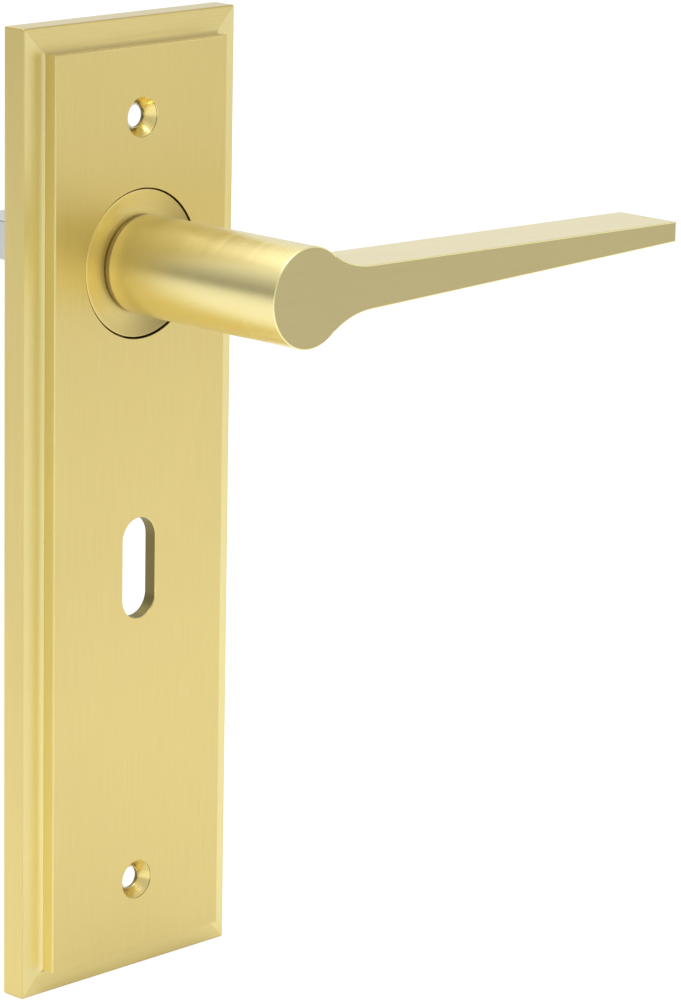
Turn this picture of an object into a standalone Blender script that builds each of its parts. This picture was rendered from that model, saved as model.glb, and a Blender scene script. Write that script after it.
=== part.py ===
"""Sprung lever handle on a stepped rectangular backplate, for a lever lock.

Frame: the origin is on the spindle's axis in the plane of the door face.  +Z points up the door, the
handle's blade points along +X, and the handle stands off the door along -Y.

Every piece is drawn in a door frame, in which X is across the door, Y is up the door and Z is the height
off the door face.  Two empties turn that frame into the world's: one for what stays on the door, and one
on the spindle's axis for what turns with the handle.
"""

import math

import bmesh
import bpy
from mathutils import Matrix

MM = 0.001

# Clearances
SEAT_GAP = 0.25 * MM
RUNNING_GAP = 0.15 * MM
DOOR_CLEARANCE = 0.1 * MM
CUTTER_OVERRUN = 1.0 * MM

# Backplate
PLATE_WIDTH = 52.0 * MM
PLATE_ABOVE_SPINDLE = 44.5 * MM
PLATE_BELOW_SPINDLE = 135.5 * MM
BORDER_HEIGHT = 5.1 * MM
FIELD_HEIGHT = 8.3 * MM
BORDER_FLAT = 3.45 * MM
COVE_RADIUS = 2.1 * MM
COVE_ANGLE = math.radians(40.0)
COVE_STEPS = 4
FIELD_EDGE = 0.25 * MM
RISER_WALL = 2.3 * MM
HOLLOW_CORNER = 3.0 * MM

# Holes in the backplate
KEYHOLE_BELOW_SPINDLE = 57.0 * MM
KEYHOLE_LENGTH = 19.1 * MM
KEYHOLE_WIDTH = 8.2 * MM
TOP_FIXING_ABOVE_SPINDLE = 26.7 * MM
BOTTOM_FIXING_FROM_EDGE = 18.2 * MM
FIXING_HOLE_RADIUS = 2.05 * MM
COUNTERSINK_RADIUS = 3.65 * MM
COUNTERSINK_RIM = 0.25 * MM

# Rose, the disc that the handle turns in.  Its edge lies this share of the way from the shank to the
# field's edge, and its flange's edge this share of the way from there to the housing's side.
ROSE_SHARE = 0.3745
ROSE_FLANGE_SHARE = 0.444
ROSE_RECESS = 0.2 * MM
ROSE_DISH = 0.3 * MM
ROSE_EDGE = 0.2 * MM
ROSE_FLANGE_THICKNESS = 0.7 * MM

# Collar, neck bush and washers.  The bush takes a share of the shank's shoulder, and the washers cover
# a share of the cam hub's wall.
COLLAR_THICKNESS = 1.0 * MM
COLLAR_INSET = 0.15 * MM
BUSH_SHARE = 0.406
THRUST_WASHER_THICKNESS = 0.4 * MM
WASHER_SHARE = 0.63
WAVE_WASHER_THICKNESS = 0.2 * MM
WAVE_HEIGHT = 0.3 * MM
WAVE_COUNT = 3

# Handle.  The shoulder takes a share of the wall between the spindle's corner and the shank's outside,
# the flats a share of the neck's wall over the spindle's side, and the groove a share over its corner.
SHANK_RADIUS = 9.2 * MM
HANDLE_PROJECTION = 51.1 * MM
SHOULDER_SHARE = 0.47
NECK_FLAT_SHARE = 0.4
GROOVE_SHARE = 0.583
NECK_PROUD = 0.5 * MM
BLADE_REACH = 99.8 * MM
BLADE_DEPTH = 13.7 * MM
BLADE_ROOT_HEIGHT = 8.84 * MM
BLADE_TIP_HEIGHT = 3.9 * MM
BLADE_TIP_ROUND = 0.9 * MM
BLADE_TIP_STEPS = 5
BLEND_RADIUS = 18.0 * MM
BLEND_STEPS = 14

# Spindle and its grub screw
SPINDLE_WIDTH = 7.7 * MM
SPINDLE_BEHIND_DOOR = 33.0 * MM
SPINDLE_SOCKET_DEPTH = 24.0 * MM
SPINDLE_CHAMFER = 0.35 * MM
GRUB_RADIUS = 2.3 * MM
GRUB_HEIGHT_OFF_DOOR = 16.0 * MM
GRUB_SUNK = 0.6 * MM
GRUB_KEY_RADIUS = 1.25 * MM
GRUB_KEY_DEPTH = 1.8 * MM

# Return spring, a flat strip wound in a spiral.  The strip takes a share of the pitch, the room that it
# leaves beside the hub and the ring is counted in its thicknesses, and its tabs in the hub's wall.
SPRING_STRIP_WIDTH = 1.8 * MM
SPRING_TURNS = 2.4
SPRING_FILL = 0.4
SPRING_ROOM_INSIDE = 1.0
SPRING_ROOM_OUTSIDE = 0.7
SPRING_INNER_ANGLE = math.radians(200.0)
SPRING_TAB_SHARE = 0.565
SPRING_STEPS_PER_TURN = 30

# Stop cam, the plate on the neck that limits the turn.  Its hub takes a share of the room between the
# neck and the housing's side.
CAM_HUB_SHARE = 0.232
CAM_THICKNESS = 0.7 * MM
CAM_ARM_INSET = 0.5 * MM
CAM_ARM_HALF_ANGLE = math.radians(10.0)
CAM_ARM_ANGLE = math.radians(90.0)
HANDLE_TRAVEL = math.radians(40.0)

# Spring housing and cover.  The ring takes a share of the same room, and the pins a share of the ring.
HOUSING_SIDE_GAP = 1.25 * MM
HOUSING_BASE_STEP = 0.15 * MM
HOUSING_RING_INSET = 0.15 * MM
HOUSING_RING_SHARE = 0.323
STOP_PIN_SHARE = 0.28
BOSS_RADIUS = 2.6 * MM
POST_WALL = 1.0 * MM
COVER_THICKNESS = 0.6 * MM
CIRCLIP_THICKNESS = 0.6 * MM
CIRCLIP_MOUTH = math.radians(34.0)
CIRCLIP_EYE_RADIUS = 0.55 * MM
CIRCLIP_EYE_TURN = math.radians(9.0)
CIRCLIP_STEPS = 44
COVER_SCREW_RADIUS = 1.05 * MM
COVER_SCREW_LENGTH = 4.6 * MM
COVER_SCREW_HEAD_RADIUS = 2.3 * MM
COVER_SCREW_HEAD_HEIGHT = 0.55 * MM
SCREW_SLOT_WIDTH = 0.5 * MM
SCREW_SLOT_DEPTH = 0.3 * MM
SCREW_SLOT_TURN = math.radians(35.0)

# Fineness of round shapes
ROUND_STEPS = 48
SMALL_STEPS = 16
CORNER_STEPS = 6
HEXAGON = 6
SMOOTH_ANGLE = math.radians(32.0)

# Heights off the door face, stacked from the door forwards, so that the hollow is as deep as what it
# holds
SCREW_HEAD_FRONT = DOOR_CLEARANCE + COVER_SCREW_HEAD_HEIGHT
COVER_BACK = SCREW_HEAD_FRONT + RUNNING_GAP
COVER_FRONT = COVER_BACK + COVER_THICKNESS
CAM_BACK = COVER_FRONT + SEAT_GAP
CAM_FRONT = CAM_BACK + CAM_THICKNESS
SPRING_BACK = CAM_FRONT + SEAT_GAP
SPRING_FRONT = SPRING_BACK + SPRING_STRIP_WIDTH
FLANGE_BACK = SPRING_FRONT + SEAT_GAP
FLANGE_FRONT = FLANGE_BACK + ROSE_FLANGE_THICKNESS
CEILING = FLANGE_FRONT + SEAT_GAP
THRUST_FRONT = FLANGE_BACK - RUNNING_GAP
THRUST_BACK = THRUST_FRONT - THRUST_WASHER_THICKNESS
HUB_FRONT = THRUST_BACK - RUNNING_GAP
WAVE_FRONT = CAM_BACK - RUNNING_GAP
WAVE_BACK = WAVE_FRONT - WAVE_WASHER_THICKNESS - WAVE_HEIGHT
CIRCLIP_FRONT = WAVE_BACK - RUNNING_GAP
CIRCLIP_BACK = CIRCLIP_FRONT - CIRCLIP_THICKNESS
NECK_END = CIRCLIP_BACK - NECK_PROUD
ROSE_FRONT = FIELD_HEIGHT - ROSE_RECESS
BUSH_BACK = FLANGE_BACK + SEAT_GAP
COLLAR_BACK = ROSE_FRONT + RUNNING_GAP
COLLAR_FRONT = COLLAR_BACK + COLLAR_THICKNESS
SHOULDER = COLLAR_FRONT + RUNNING_GAP
BLADE_BACK = HANDLE_PROJECTION - BLADE_DEPTH
HOUSING_BASE_BACK = SPRING_FRONT - HOUSING_BASE_STEP

# Sizes across the plate
PLATE_MIDDLE = (PLATE_ABOVE_SPINDLE - PLATE_BELOW_SPINDLE) / 2
PLATE_HEIGHT = PLATE_ABOVE_SPINDLE + PLATE_BELOW_SPINDLE
RISER_INSET = BORDER_FLAT + COVE_RADIUS * math.sin(COVE_ANGLE)
HOLLOW_INSET = RISER_INSET + RISER_WALL
HOLLOW_HALF_WIDTH = PLATE_WIDTH / 2 - HOLLOW_INSET
FIELD_HALF_WIDTH = PLATE_WIDTH / 2 - RISER_INSET - FIELD_EDGE
HOUSING_HALF_WIDTH = HOLLOW_HALF_WIDTH - HOUSING_SIDE_GAP

# Radii, from the spindle outwards
SOCKET_WIDTH = SPINDLE_WIDTH + 2 * SEAT_GAP
SOCKET_CORNER = SOCKET_WIDTH / math.sqrt(2)
NECK_RADIUS = SHANK_RADIUS - SHOULDER_SHARE * (SHANK_RADIUS - SOCKET_CORNER)
NECK_FLAT = NECK_RADIUS - NECK_FLAT_SHARE * (NECK_RADIUS - SOCKET_WIDTH / 2)
GROOVE_RADIUS = NECK_RADIUS - GROOVE_SHARE * (NECK_RADIUS - SOCKET_CORNER)
CIRCLIP_BORE = GROOVE_RADIUS + RUNNING_GAP
NECK_BORE = NECK_RADIUS + RUNNING_GAP
BUSH_RADIUS = NECK_BORE + BUSH_SHARE * (SHANK_RADIUS - NECK_RADIUS)
ROSE_BORE = BUSH_RADIUS + RUNNING_GAP
COLLAR_RADIUS = SHANK_RADIUS - COLLAR_INSET
ROSE_RADIUS = SHANK_RADIUS + ROSE_SHARE * (FIELD_HALF_WIDTH - SHANK_RADIUS)
ROSE_FLANGE_RADIUS = ROSE_RADIUS + ROSE_FLANGE_SHARE * (HOUSING_HALF_WIDTH - ROSE_RADIUS)
CAM_FLAT = NECK_FLAT + RUNNING_GAP
CAM_HUB_WALL = CAM_HUB_SHARE * (HOUSING_HALF_WIDTH - NECK_BORE)
CAM_HUB_RADIUS = NECK_BORE + CAM_HUB_WALL
WASHER_RADIUS = NECK_BORE + WASHER_SHARE * CAM_HUB_WALL
HOUSING_RING_WALL = HOUSING_RING_SHARE * (HOUSING_HALF_WIDTH - NECK_BORE)
HOUSING_RING_OUTER = HOUSING_HALF_WIDTH - HOUSING_RING_INSET
HOUSING_RING_INNER = HOUSING_RING_OUTER - HOUSING_RING_WALL
SPRING_ROOM = HOUSING_RING_INNER - CAM_HUB_RADIUS - 2 * SEAT_GAP
SPRING_ROOM_IN_STRIPS = SPRING_ROOM_INSIDE + SPRING_TURNS / SPRING_FILL + SPRING_ROOM_OUTSIDE
SPRING_STRIP_THICKNESS = SPRING_ROOM / SPRING_ROOM_IN_STRIPS
SPRING_PITCH = SPRING_STRIP_THICKNESS / SPRING_FILL
SPRING_INNER_RADIUS = CAM_HUB_RADIUS + SEAT_GAP + SPRING_ROOM_INSIDE * SPRING_STRIP_THICKNESS
SPRING_OUTER_RADIUS = SPRING_INNER_RADIUS + SPRING_PITCH * SPRING_TURNS
SPRING_OUTER_ANGLE = SPRING_INNER_ANGLE + 2 * math.pi * SPRING_TURNS
SPRING_TAB = SPRING_TAB_SHARE * CAM_HUB_WALL
SPRING_NOTCH_WIDTH = SPRING_STRIP_THICKNESS + 2 * SEAT_GAP
CAM_ARM_RADIUS = HOUSING_RING_OUTER - CAM_ARM_INSET
STOP_PIN_RADIUS = STOP_PIN_SHARE * HOUSING_RING_WALL
STOP_PIN_ORBIT = HOUSING_RING_INNER + HOUSING_RING_WALL / 2

# Bosses at the housing's corners, just clear of its ring
POST_BORE = BOSS_RADIUS + SEAT_GAP
POST_RADIUS = POST_BORE + POST_WALL
BOSS_ORBIT = HOUSING_RING_OUTER + SEAT_GAP + POST_RADIUS
BOSS_ACROSS = HOUSING_HALF_WIDTH - POST_RADIUS
BOSS_UP = math.sqrt(BOSS_ORBIT ** 2 - BOSS_ACROSS ** 2)
BOSS_SIDES = [(-1, 1), (1, 1), (1, -1), (-1, -1)]
BOSS_PLACES = [(across * BOSS_ACROSS, up * BOSS_UP) for across, up in BOSS_SIDES]
HOUSING_HALF_HEIGHT = BOSS_UP + POST_RADIUS


# ---------------------------------------------------------------- scene, materials and helpers

def clear_scene():
    for old in list(bpy.data.objects):
        bpy.data.objects.remove(old, do_unlink=True)


def make_collection(name):
    collection = bpy.data.collections.new(name)
    bpy.context.scene.collection.children.link(collection)
    return collection


def make_material(name, colour, roughness, metallic):
    material = bpy.data.materials.new(name)
    material.use_nodes = True
    shader = material.node_tree.nodes["Principled BSDF"]
    shader.inputs["Base Color"].default_value = (*colour, 1.0)
    shader.inputs["Roughness"].default_value = roughness
    shader.inputs["Metallic"].default_value = metallic
    material.diffuse_color = (*colour, 1.0)
    return material


def make_frame(name):
    """An empty whose Z axis points off the door and whose Y axis points up it."""
    frame = bpy.data.objects.new(name, None)
    frame.rotation_euler = (math.radians(90.0), 0.0, 0.0)
    frame.empty_display_size = PLATE_WIDTH / 2
    bpy.context.scene.collection.objects.link(frame)
    return frame


def add_object(name, data, place, frame, material=None, matrix=None):
    obj = bpy.data.objects.new(name, data)
    place.objects.link(obj)
    obj.parent = frame
    if matrix is not None:
        obj.matrix_basis = matrix
    if material is not None:
        data.materials.append(material)
    return obj


def add_cutter(name, data, frame, matrix=None):
    cutter = add_object(name, data, CUTTERS, frame, matrix=matrix)
    cutter.hide_render = True
    cutter.display_type = "WIRE"
    return cutter


def combine(obj, other, operation):
    modifier = obj.modifiers.new(f"{operation.lower()}_{other.name}", "BOOLEAN")
    modifier.object = other
    modifier.operation = operation
    modifier.solver = "EXACT"


def cut(obj, *cutters):
    for cutter in cutters:
        combine(obj, cutter, "DIFFERENCE")


def evaluated_mesh(obj):
    bpy.context.view_layer.update()
    graph = bpy.context.evaluated_depsgraph_get()
    return bpy.data.meshes.new_from_object(obj.evaluated_get(graph), depsgraph=graph)


def settle(obj):
    """Turns an object's modifiers into its mesh, with round surfaces smooth and real edges sharp."""
    materials = list(obj.data.materials)
    mesh = evaluated_mesh(obj)
    obj.modifiers.clear()
    obj.data = mesh
    mesh.materials.clear()
    for material in materials:
        mesh.materials.append(material)
    mesh.shade_smooth()
    mesh.set_sharp_from_angle(angle=SMOOTH_ANGLE)
    return obj


# ---------------------------------------------------------------- outlines, in the plane of the door

def arc(radius, start, end, steps, centre=(0.0, 0.0)):
    points = []
    for step in range(steps + 1):
        angle = start + (end - start) * step / steps
        points.append((centre[0] + radius * math.cos(angle), centre[1] + radius * math.sin(angle)))
    return points


def circle(radius, steps=ROUND_STEPS, centre=(0.0, 0.0)):
    return arc(radius, 0.0, 2 * math.pi * (steps - 1) / steps, steps - 1, centre)


def rounded_rectangle(half_width, half_height, corner, centre=(0.0, 0.0), steps=CORNER_STEPS):
    points = []
    for quarter, (across, up) in enumerate([(1, 1), (-1, 1), (-1, -1), (1, -1)]):
        middle = (centre[0] + across * (half_width - corner), centre[1] + up * (half_height - corner))
        start = quarter * math.pi / 2
        points += arc(corner, start, start + math.pi / 2, steps, middle)
    return points


def upright_slot(half_length, half_width, centre):
    run = half_length - half_width
    top = arc(half_width, 0.0, math.pi, SMALL_STEPS, (centre[0], centre[1] + run))
    bottom = arc(half_width, math.pi, 2 * math.pi, SMALL_STEPS, (centre[0], centre[1] - run))
    return top + bottom


def two_flat_round(radius, flat):
    """A circle with its two sides cut off flat at x = +flat and x = -flat."""
    corner = math.acos(flat / radius)
    top = arc(radius, corner, math.pi - corner, SMALL_STEPS)
    bottom = arc(radius, math.pi + corner, 2 * math.pi - corner, SMALL_STEPS)
    return top + bottom


def upright_block(left, right, half_height):
    return [(right, half_height), (left, half_height), (left, -half_height), (right, -half_height)]


def radial_block(start, end, width, angle):
    """A rectangle that lies along one radius, from one distance to another."""
    points = []
    for radius, side in [(start, -1), (end, -1), (end, 1), (start, 1)]:
        across = side * width / 2
        x = radius * math.cos(angle) - across * math.sin(angle)
        y = radius * math.sin(angle) + across * math.cos(angle)
        points.append((x, y))
    return points


def flat_data(name, loops, back, front):
    """A mesh of the outline, its inner loops as holes, between two heights off the door."""
    curve = bpy.data.curves.new(name, "CURVE")
    curve.dimensions = "2D"
    curve.fill_mode = "BOTH"
    curve.extrude = (front - back) / 2
    for loop in loops:
        spline = curve.splines.new("POLY")
        spline.points.add(len(loop) - 1)
        for point, (x, y) in zip(spline.points, loop):
            point.co = (x, y, 0.0, 1.0)
        spline.use_cyclic_u = True
    drawing = bpy.data.objects.new(name, curve)
    bpy.context.scene.collection.objects.link(drawing)
    mesh = evaluated_mesh(drawing)
    bpy.data.objects.remove(drawing, do_unlink=True)
    bpy.data.curves.remove(curve)
    solid = bmesh.new()
    solid.from_mesh(mesh)
    bmesh.ops.remove_doubles(solid, verts=solid.verts, dist=1e-7)
    bmesh.ops.translate(solid, verts=solid.verts, vec=(0.0, 0.0, (front + back) / 2))
    bmesh.ops.recalc_face_normals(solid, faces=solid.faces)
    solid.to_mesh(mesh)
    solid.free()
    return mesh


def turned_data(name, profile, ring):
    """A mesh of the profile's edges, points being (radius, height), which a Screw modifier turns."""
    mesh = bpy.data.meshes.new(name)
    points = [(radius, 0.0, height) for radius, height in profile]
    edges = [(index, index + 1) for index in range(len(points) - 1)]
    if ring:
        edges.append((len(points) - 1, 0))
    mesh.from_pydata(points, edges, [])
    return mesh


def spin(obj, steps=ROUND_STEPS):
    screw = obj.modifiers.new("turned", "SCREW")
    screw.axis = "Z"
    screw.steps = steps
    screw.render_steps = steps
    screw.use_merge_vertices = True
    screw.merge_threshold = 1e-6
    screw.use_smooth_shade = True
    return obj


def turned(name, profile, frame, material, ring=False, steps=ROUND_STEPS, matrix=None):
    return spin(add_object(name, turned_data(name, profile, ring), PARTS, frame, material, matrix), steps)


def turned_cutter(name, profile, frame, steps=ROUND_STEPS, matrix=None):
    return spin(add_cutter(name, turned_data(name, profile, False), frame, matrix), steps)


def flat_part(name, loops, back, front, frame, material):
    return add_object(name, flat_data(name, loops, back, front), PARTS, frame, material)


def flat_cutter(name, loops, back, front, frame):
    return add_cutter(name, flat_data(name, loops, back, front), frame)


def box_data(name, width, depth, height):
    mesh = bpy.data.meshes.new(name)
    box = bmesh.new()
    bmesh.ops.create_cube(box, size=1.0)
    bmesh.ops.scale(box, verts=box.verts, vec=(width, depth, height))
    box.to_mesh(mesh)
    box.free()
    return mesh


# ---------------------------------------------------------------- backplate

def stepped_block():
    """The plate's outside: a flat border, a cove that sweeps up to a riser, and the raised field."""
    block = bmesh.new()
    bmesh.ops.create_cube(block, size=1.0)
    bmesh.ops.scale(block, verts=block.verts, vec=(PLATE_WIDTH, PLATE_HEIGHT, BORDER_HEIGHT))
    bmesh.ops.translate(block, verts=block.verts, vec=(0.0, PLATE_MIDDLE, BORDER_HEIGHT / 2))
    face = max(block.faces, key=lambda item: item.calc_center_median().z)
    bmesh.ops.inset_individual(block, faces=[face], thickness=BORDER_FLAT, use_even_offset=True)
    run_before, rise_before = 0.0, 0.0
    for step in range(1, COVE_STEPS + 1):
        angle = COVE_ANGLE * step / COVE_STEPS
        run = COVE_RADIUS * math.sin(angle)
        rise = COVE_RADIUS * (1.0 - math.cos(angle))
        bmesh.ops.inset_individual(
            block, faces=[face], thickness=run - run_before, depth=rise - rise_before, use_even_offset=True
        )
        run_before, rise_before = run, rise
    riser = FIELD_HEIGHT - FIELD_EDGE - BORDER_HEIGHT - rise_before
    raised = bmesh.ops.extrude_discrete_faces(block, faces=[face])["faces"][0]
    bmesh.ops.translate(block, verts=raised.verts, vec=(0.0, 0.0, riser))
    bmesh.ops.inset_individual(
        block, faces=[raised], thickness=FIELD_EDGE, depth=FIELD_EDGE, use_even_offset=True
    )
    mesh = bpy.data.meshes.new("backplate")
    block.to_mesh(mesh)
    block.free()
    return mesh


def hollow_outline():
    half_height = PLATE_HEIGHT / 2 - HOLLOW_INSET
    return rounded_rectangle(HOLLOW_HALF_WIDTH, half_height, HOLLOW_CORNER, (0.0, PLATE_MIDDLE))


def cut_hollow(plate, frame):
    """Hollows the back, leaving four bosses that reach down to the cover."""
    bosses = [circle(BOSS_RADIUS, SMALL_STEPS, place) for place in BOSS_PLACES]
    around = [hollow_outline(), *bosses]
    cut(plate, flat_cutter("hollow_around_bosses", around, -CUTTER_OVERRUN, CEILING, frame))
    cut(plate, flat_cutter("hollow_over_bosses", [hollow_outline()], -CUTTER_OVERRUN, CAM_BACK, frame))


def cut_fixing_holes(plate, frame):
    """Two countersunk holes for the wood screws."""
    rim = FIELD_HEIGHT - COUNTERSINK_RIM
    cone_end = rim - (COUNTERSINK_RADIUS - FIXING_HOLE_RADIUS)
    profile = [
        (0.0, FIELD_HEIGHT + CUTTER_OVERRUN),
        (COUNTERSINK_RADIUS, FIELD_HEIGHT + CUTTER_OVERRUN),
        (COUNTERSINK_RADIUS, rim),
        (FIXING_HOLE_RADIUS, cone_end),
        (FIXING_HOLE_RADIUS, min(cone_end, CEILING) - CUTTER_OVERRUN),
        (0.0, min(cone_end, CEILING) - CUTTER_OVERRUN),
    ]
    heights = {
        "top_fixing_hole": TOP_FIXING_ABOVE_SPINDLE,
        "bottom_fixing_hole": BOTTOM_FIXING_FROM_EDGE - PLATE_BELOW_SPINDLE,
    }
    for name, height in heights.items():
        place = Matrix.Translation((0.0, height, 0.0))
        cut(plate, turned_cutter(name, profile, frame, ROUND_STEPS, place))


def backplate(frame, material):
    plate = add_object("backplate", stepped_block(), PARTS, frame, material)
    cut_hollow(plate, frame)
    back, front = CEILING - CUTTER_OVERRUN, FIELD_HEIGHT + CUTTER_OVERRUN
    rose_seat = [circle(ROSE_RADIUS + SEAT_GAP)]
    cut(plate, flat_cutter("rose_seat", rose_seat, back, front, frame))
    keyhole = [upright_slot(KEYHOLE_LENGTH / 2, KEYHOLE_WIDTH / 2, (0.0, -KEYHOLE_BELOW_SPINDLE))]
    cut(plate, flat_cutter("keyhole", keyhole, back, front, frame))
    cut_fixing_holes(plate, frame)
    tapped_end = COVER_FRONT + COVER_SCREW_LENGTH
    for number, place in enumerate(BOSS_PLACES, 1):
        hole = [circle(COVER_SCREW_RADIUS + RUNNING_GAP, SMALL_STEPS, place)]
        cut(plate, flat_cutter(f"tapped_hole_{number}", hole, -CUTTER_OVERRUN, tapped_end, frame))
    return settle(plate)


# ---------------------------------------------------------------- what the handle turns in

def bearing_rose(frame, material):
    """A dished disc flush in the plate, with a flange behind the plate's wall."""
    middle = (ROSE_RADIUS + COLLAR_RADIUS) / 2
    profile = [
        (ROSE_RADIUS - ROSE_EDGE, ROSE_FRONT),
        (ROSE_RADIUS, ROSE_FRONT - ROSE_EDGE),
        (ROSE_RADIUS, FLANGE_FRONT),
        (ROSE_FLANGE_RADIUS, FLANGE_FRONT),
        (ROSE_FLANGE_RADIUS, FLANGE_BACK),
        (ROSE_BORE, FLANGE_BACK),
        (ROSE_BORE, ROSE_FRONT),
        (COLLAR_RADIUS, ROSE_FRONT),
        (middle, ROSE_FRONT - ROSE_DISH),
    ]
    return settle(turned("bearing_rose", profile, frame, material, ring=True))


def shank_collar(frame, material):
    """The ring that shows between the rose and the shank's shoulder."""
    loops = [circle(COLLAR_RADIUS), circle(NECK_BORE)]
    return settle(flat_part("shank_collar", loops, COLLAR_BACK, COLLAR_FRONT, frame, material))


def neck_bush(frame, material):
    """A plain sleeve between the neck and the rose."""
    loops = [circle(BUSH_RADIUS), circle(NECK_BORE)]
    return settle(flat_part("neck_bush", loops, BUSH_BACK, ROSE_FRONT, frame, material))


def thrust_washer(frame, material):
    loops = [circle(WASHER_RADIUS), circle(NECK_BORE)]
    return settle(flat_part("thrust_washer", loops, THRUST_BACK, THRUST_FRONT, frame, material))


def wave_washer(frame, material):
    """A thin ring bent into three waves, which takes up the handle's end float."""
    back = WAVE_BACK + WAVE_HEIGHT / 2
    loops = [circle(WASHER_RADIUS), circle(NECK_BORE)]
    washer = flat_part("wave_washer", loops, back, back + WAVE_WASHER_THICKNESS, frame, material)
    for vertex in washer.data.vertices:
        angle = math.atan2(vertex.co.y, vertex.co.x)
        vertex.co.z += WAVE_HEIGHT / 2 * math.cos(WAVE_COUNT * angle)
    return settle(washer)


def circlip(frame, material):
    """An open ring in the neck's groove, with an eye at each end for the pliers."""
    start = -math.pi / 2 + CIRCLIP_MOUTH
    end = 3 * math.pi / 2 - CIRCLIP_MOUTH
    outline = arc(WASHER_RADIUS, start, end, CIRCLIP_STEPS) + arc(CIRCLIP_BORE, end, start, CIRCLIP_STEPS)
    eye_orbit = (CIRCLIP_BORE + WASHER_RADIUS) / 2
    eyes = []
    for angle in (start + CIRCLIP_EYE_TURN, end - CIRCLIP_EYE_TURN):
        place = (eye_orbit * math.cos(angle), eye_orbit * math.sin(angle))
        eyes.append(circle(CIRCLIP_EYE_RADIUS, SMALL_STEPS, place))
    return settle(flat_part("circlip", [outline, *eyes], CIRCLIP_BACK, CIRCLIP_FRONT, frame, material))


# ---------------------------------------------------------------- spring, cam and stops

def return_spring(frame, material):
    """A flat strip: a tab in the cam's notch, a spiral, and a tab in the housing's notch."""
    steps = round(SPRING_TURNS * SPRING_STEPS_PER_TURN)
    route = [(SPRING_INNER_RADIUS - SPRING_TAB, SPRING_INNER_ANGLE)]
    for step in range(steps + 1):
        part = step / steps
        radius = SPRING_INNER_RADIUS + (SPRING_OUTER_RADIUS - SPRING_INNER_RADIUS) * part
        angle = SPRING_INNER_ANGLE + (SPRING_OUTER_ANGLE - SPRING_INNER_ANGLE) * part
        route.append((radius, angle))
    route.append((HOUSING_RING_INNER + SPRING_TAB, SPRING_OUTER_ANGLE))
    mesh = bpy.data.meshes.new("return_spring")
    strip = bmesh.new()
    edge = [strip.verts.new((r * math.cos(a), r * math.sin(a), SPRING_BACK)) for r, a in route]
    line = [strip.edges.new(pair) for pair in zip(edge, edge[1:])]
    raised = bmesh.ops.extrude_edge_only(strip, edges=line)["geom"]
    corners = [item for item in raised if isinstance(item, bmesh.types.BMVert)]
    bmesh.ops.translate(strip, verts=corners, vec=(0.0, 0.0, SPRING_STRIP_WIDTH))
    bmesh.ops.recalc_face_normals(strip, faces=strip.faces)
    strip.to_mesh(mesh)
    strip.free()
    spring = add_object("return_spring", mesh, PARTS, frame, material)
    thick = spring.modifiers.new("strip_thickness", "SOLIDIFY")
    thick.thickness = SPRING_STRIP_THICKNESS
    thick.offset = 0.0
    thick.use_even_offset = True
    return settle(spring)


def stop_cam(frame, material):
    """A hub that the neck's flats drive, with one arm that swings between the stop pins."""
    bore = two_flat_round(NECK_BORE, CAM_FLAT)
    hub = circle(CAM_HUB_RADIUS)
    cam = flat_part("stop_cam", [hub, bore], CAM_FRONT - CAM_THICKNESS / 2, HUB_FRONT, frame, material)
    arm_start = CAM_ARM_ANGLE - CAM_ARM_HALF_ANGLE
    arm_end = CAM_ARM_ANGLE + CAM_ARM_HALF_ANGLE
    arm = arc(CAM_ARM_RADIUS, arm_start, arm_end, CORNER_STEPS)
    rest = arc(CAM_HUB_RADIUS, arm_end, arm_start + 2 * math.pi, ROUND_STEPS)
    plate = add_cutter("cam_plate", flat_data("cam_plate", [arm + rest, bore], CAM_BACK, CAM_FRONT), frame)
    combine(cam, plate, "UNION")
    notch_start = CAM_HUB_RADIUS - SPRING_TAB + SPRING_STRIP_THICKNESS / 2
    notch_end = CAM_HUB_RADIUS + CUTTER_OVERRUN
    notch = radial_block(notch_start, notch_end, SPRING_NOTCH_WIDTH, SPRING_INNER_ANGLE)
    cut(cam, flat_cutter("inner_tab_notch", [notch], CAM_FRONT, HUB_FRONT + CUTTER_OVERRUN, frame))
    return settle(cam)


def stop_pins(frame, material):
    """Two pins in the housing: the arm meets one at rest and the other at full travel."""
    clear_angle = CAM_ARM_HALF_ANGLE + (STOP_PIN_RADIUS + SEAT_GAP) / STOP_PIN_ORBIT
    angles = {
        "rest_stop_pin": CAM_ARM_ANGLE + clear_angle,
        "travel_stop_pin": CAM_ARM_ANGLE - HANDLE_TRAVEL - clear_angle,
    }
    places = []
    for name, angle in angles.items():
        place = (STOP_PIN_ORBIT * math.cos(angle), STOP_PIN_ORBIT * math.sin(angle))
        places.append(place)
        loops = [circle(STOP_PIN_RADIUS, SMALL_STEPS, place)]
        settle(flat_part(name, loops, CAM_BACK, HOUSING_BASE_BACK - SEAT_GAP, frame, material))
    return places


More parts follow.
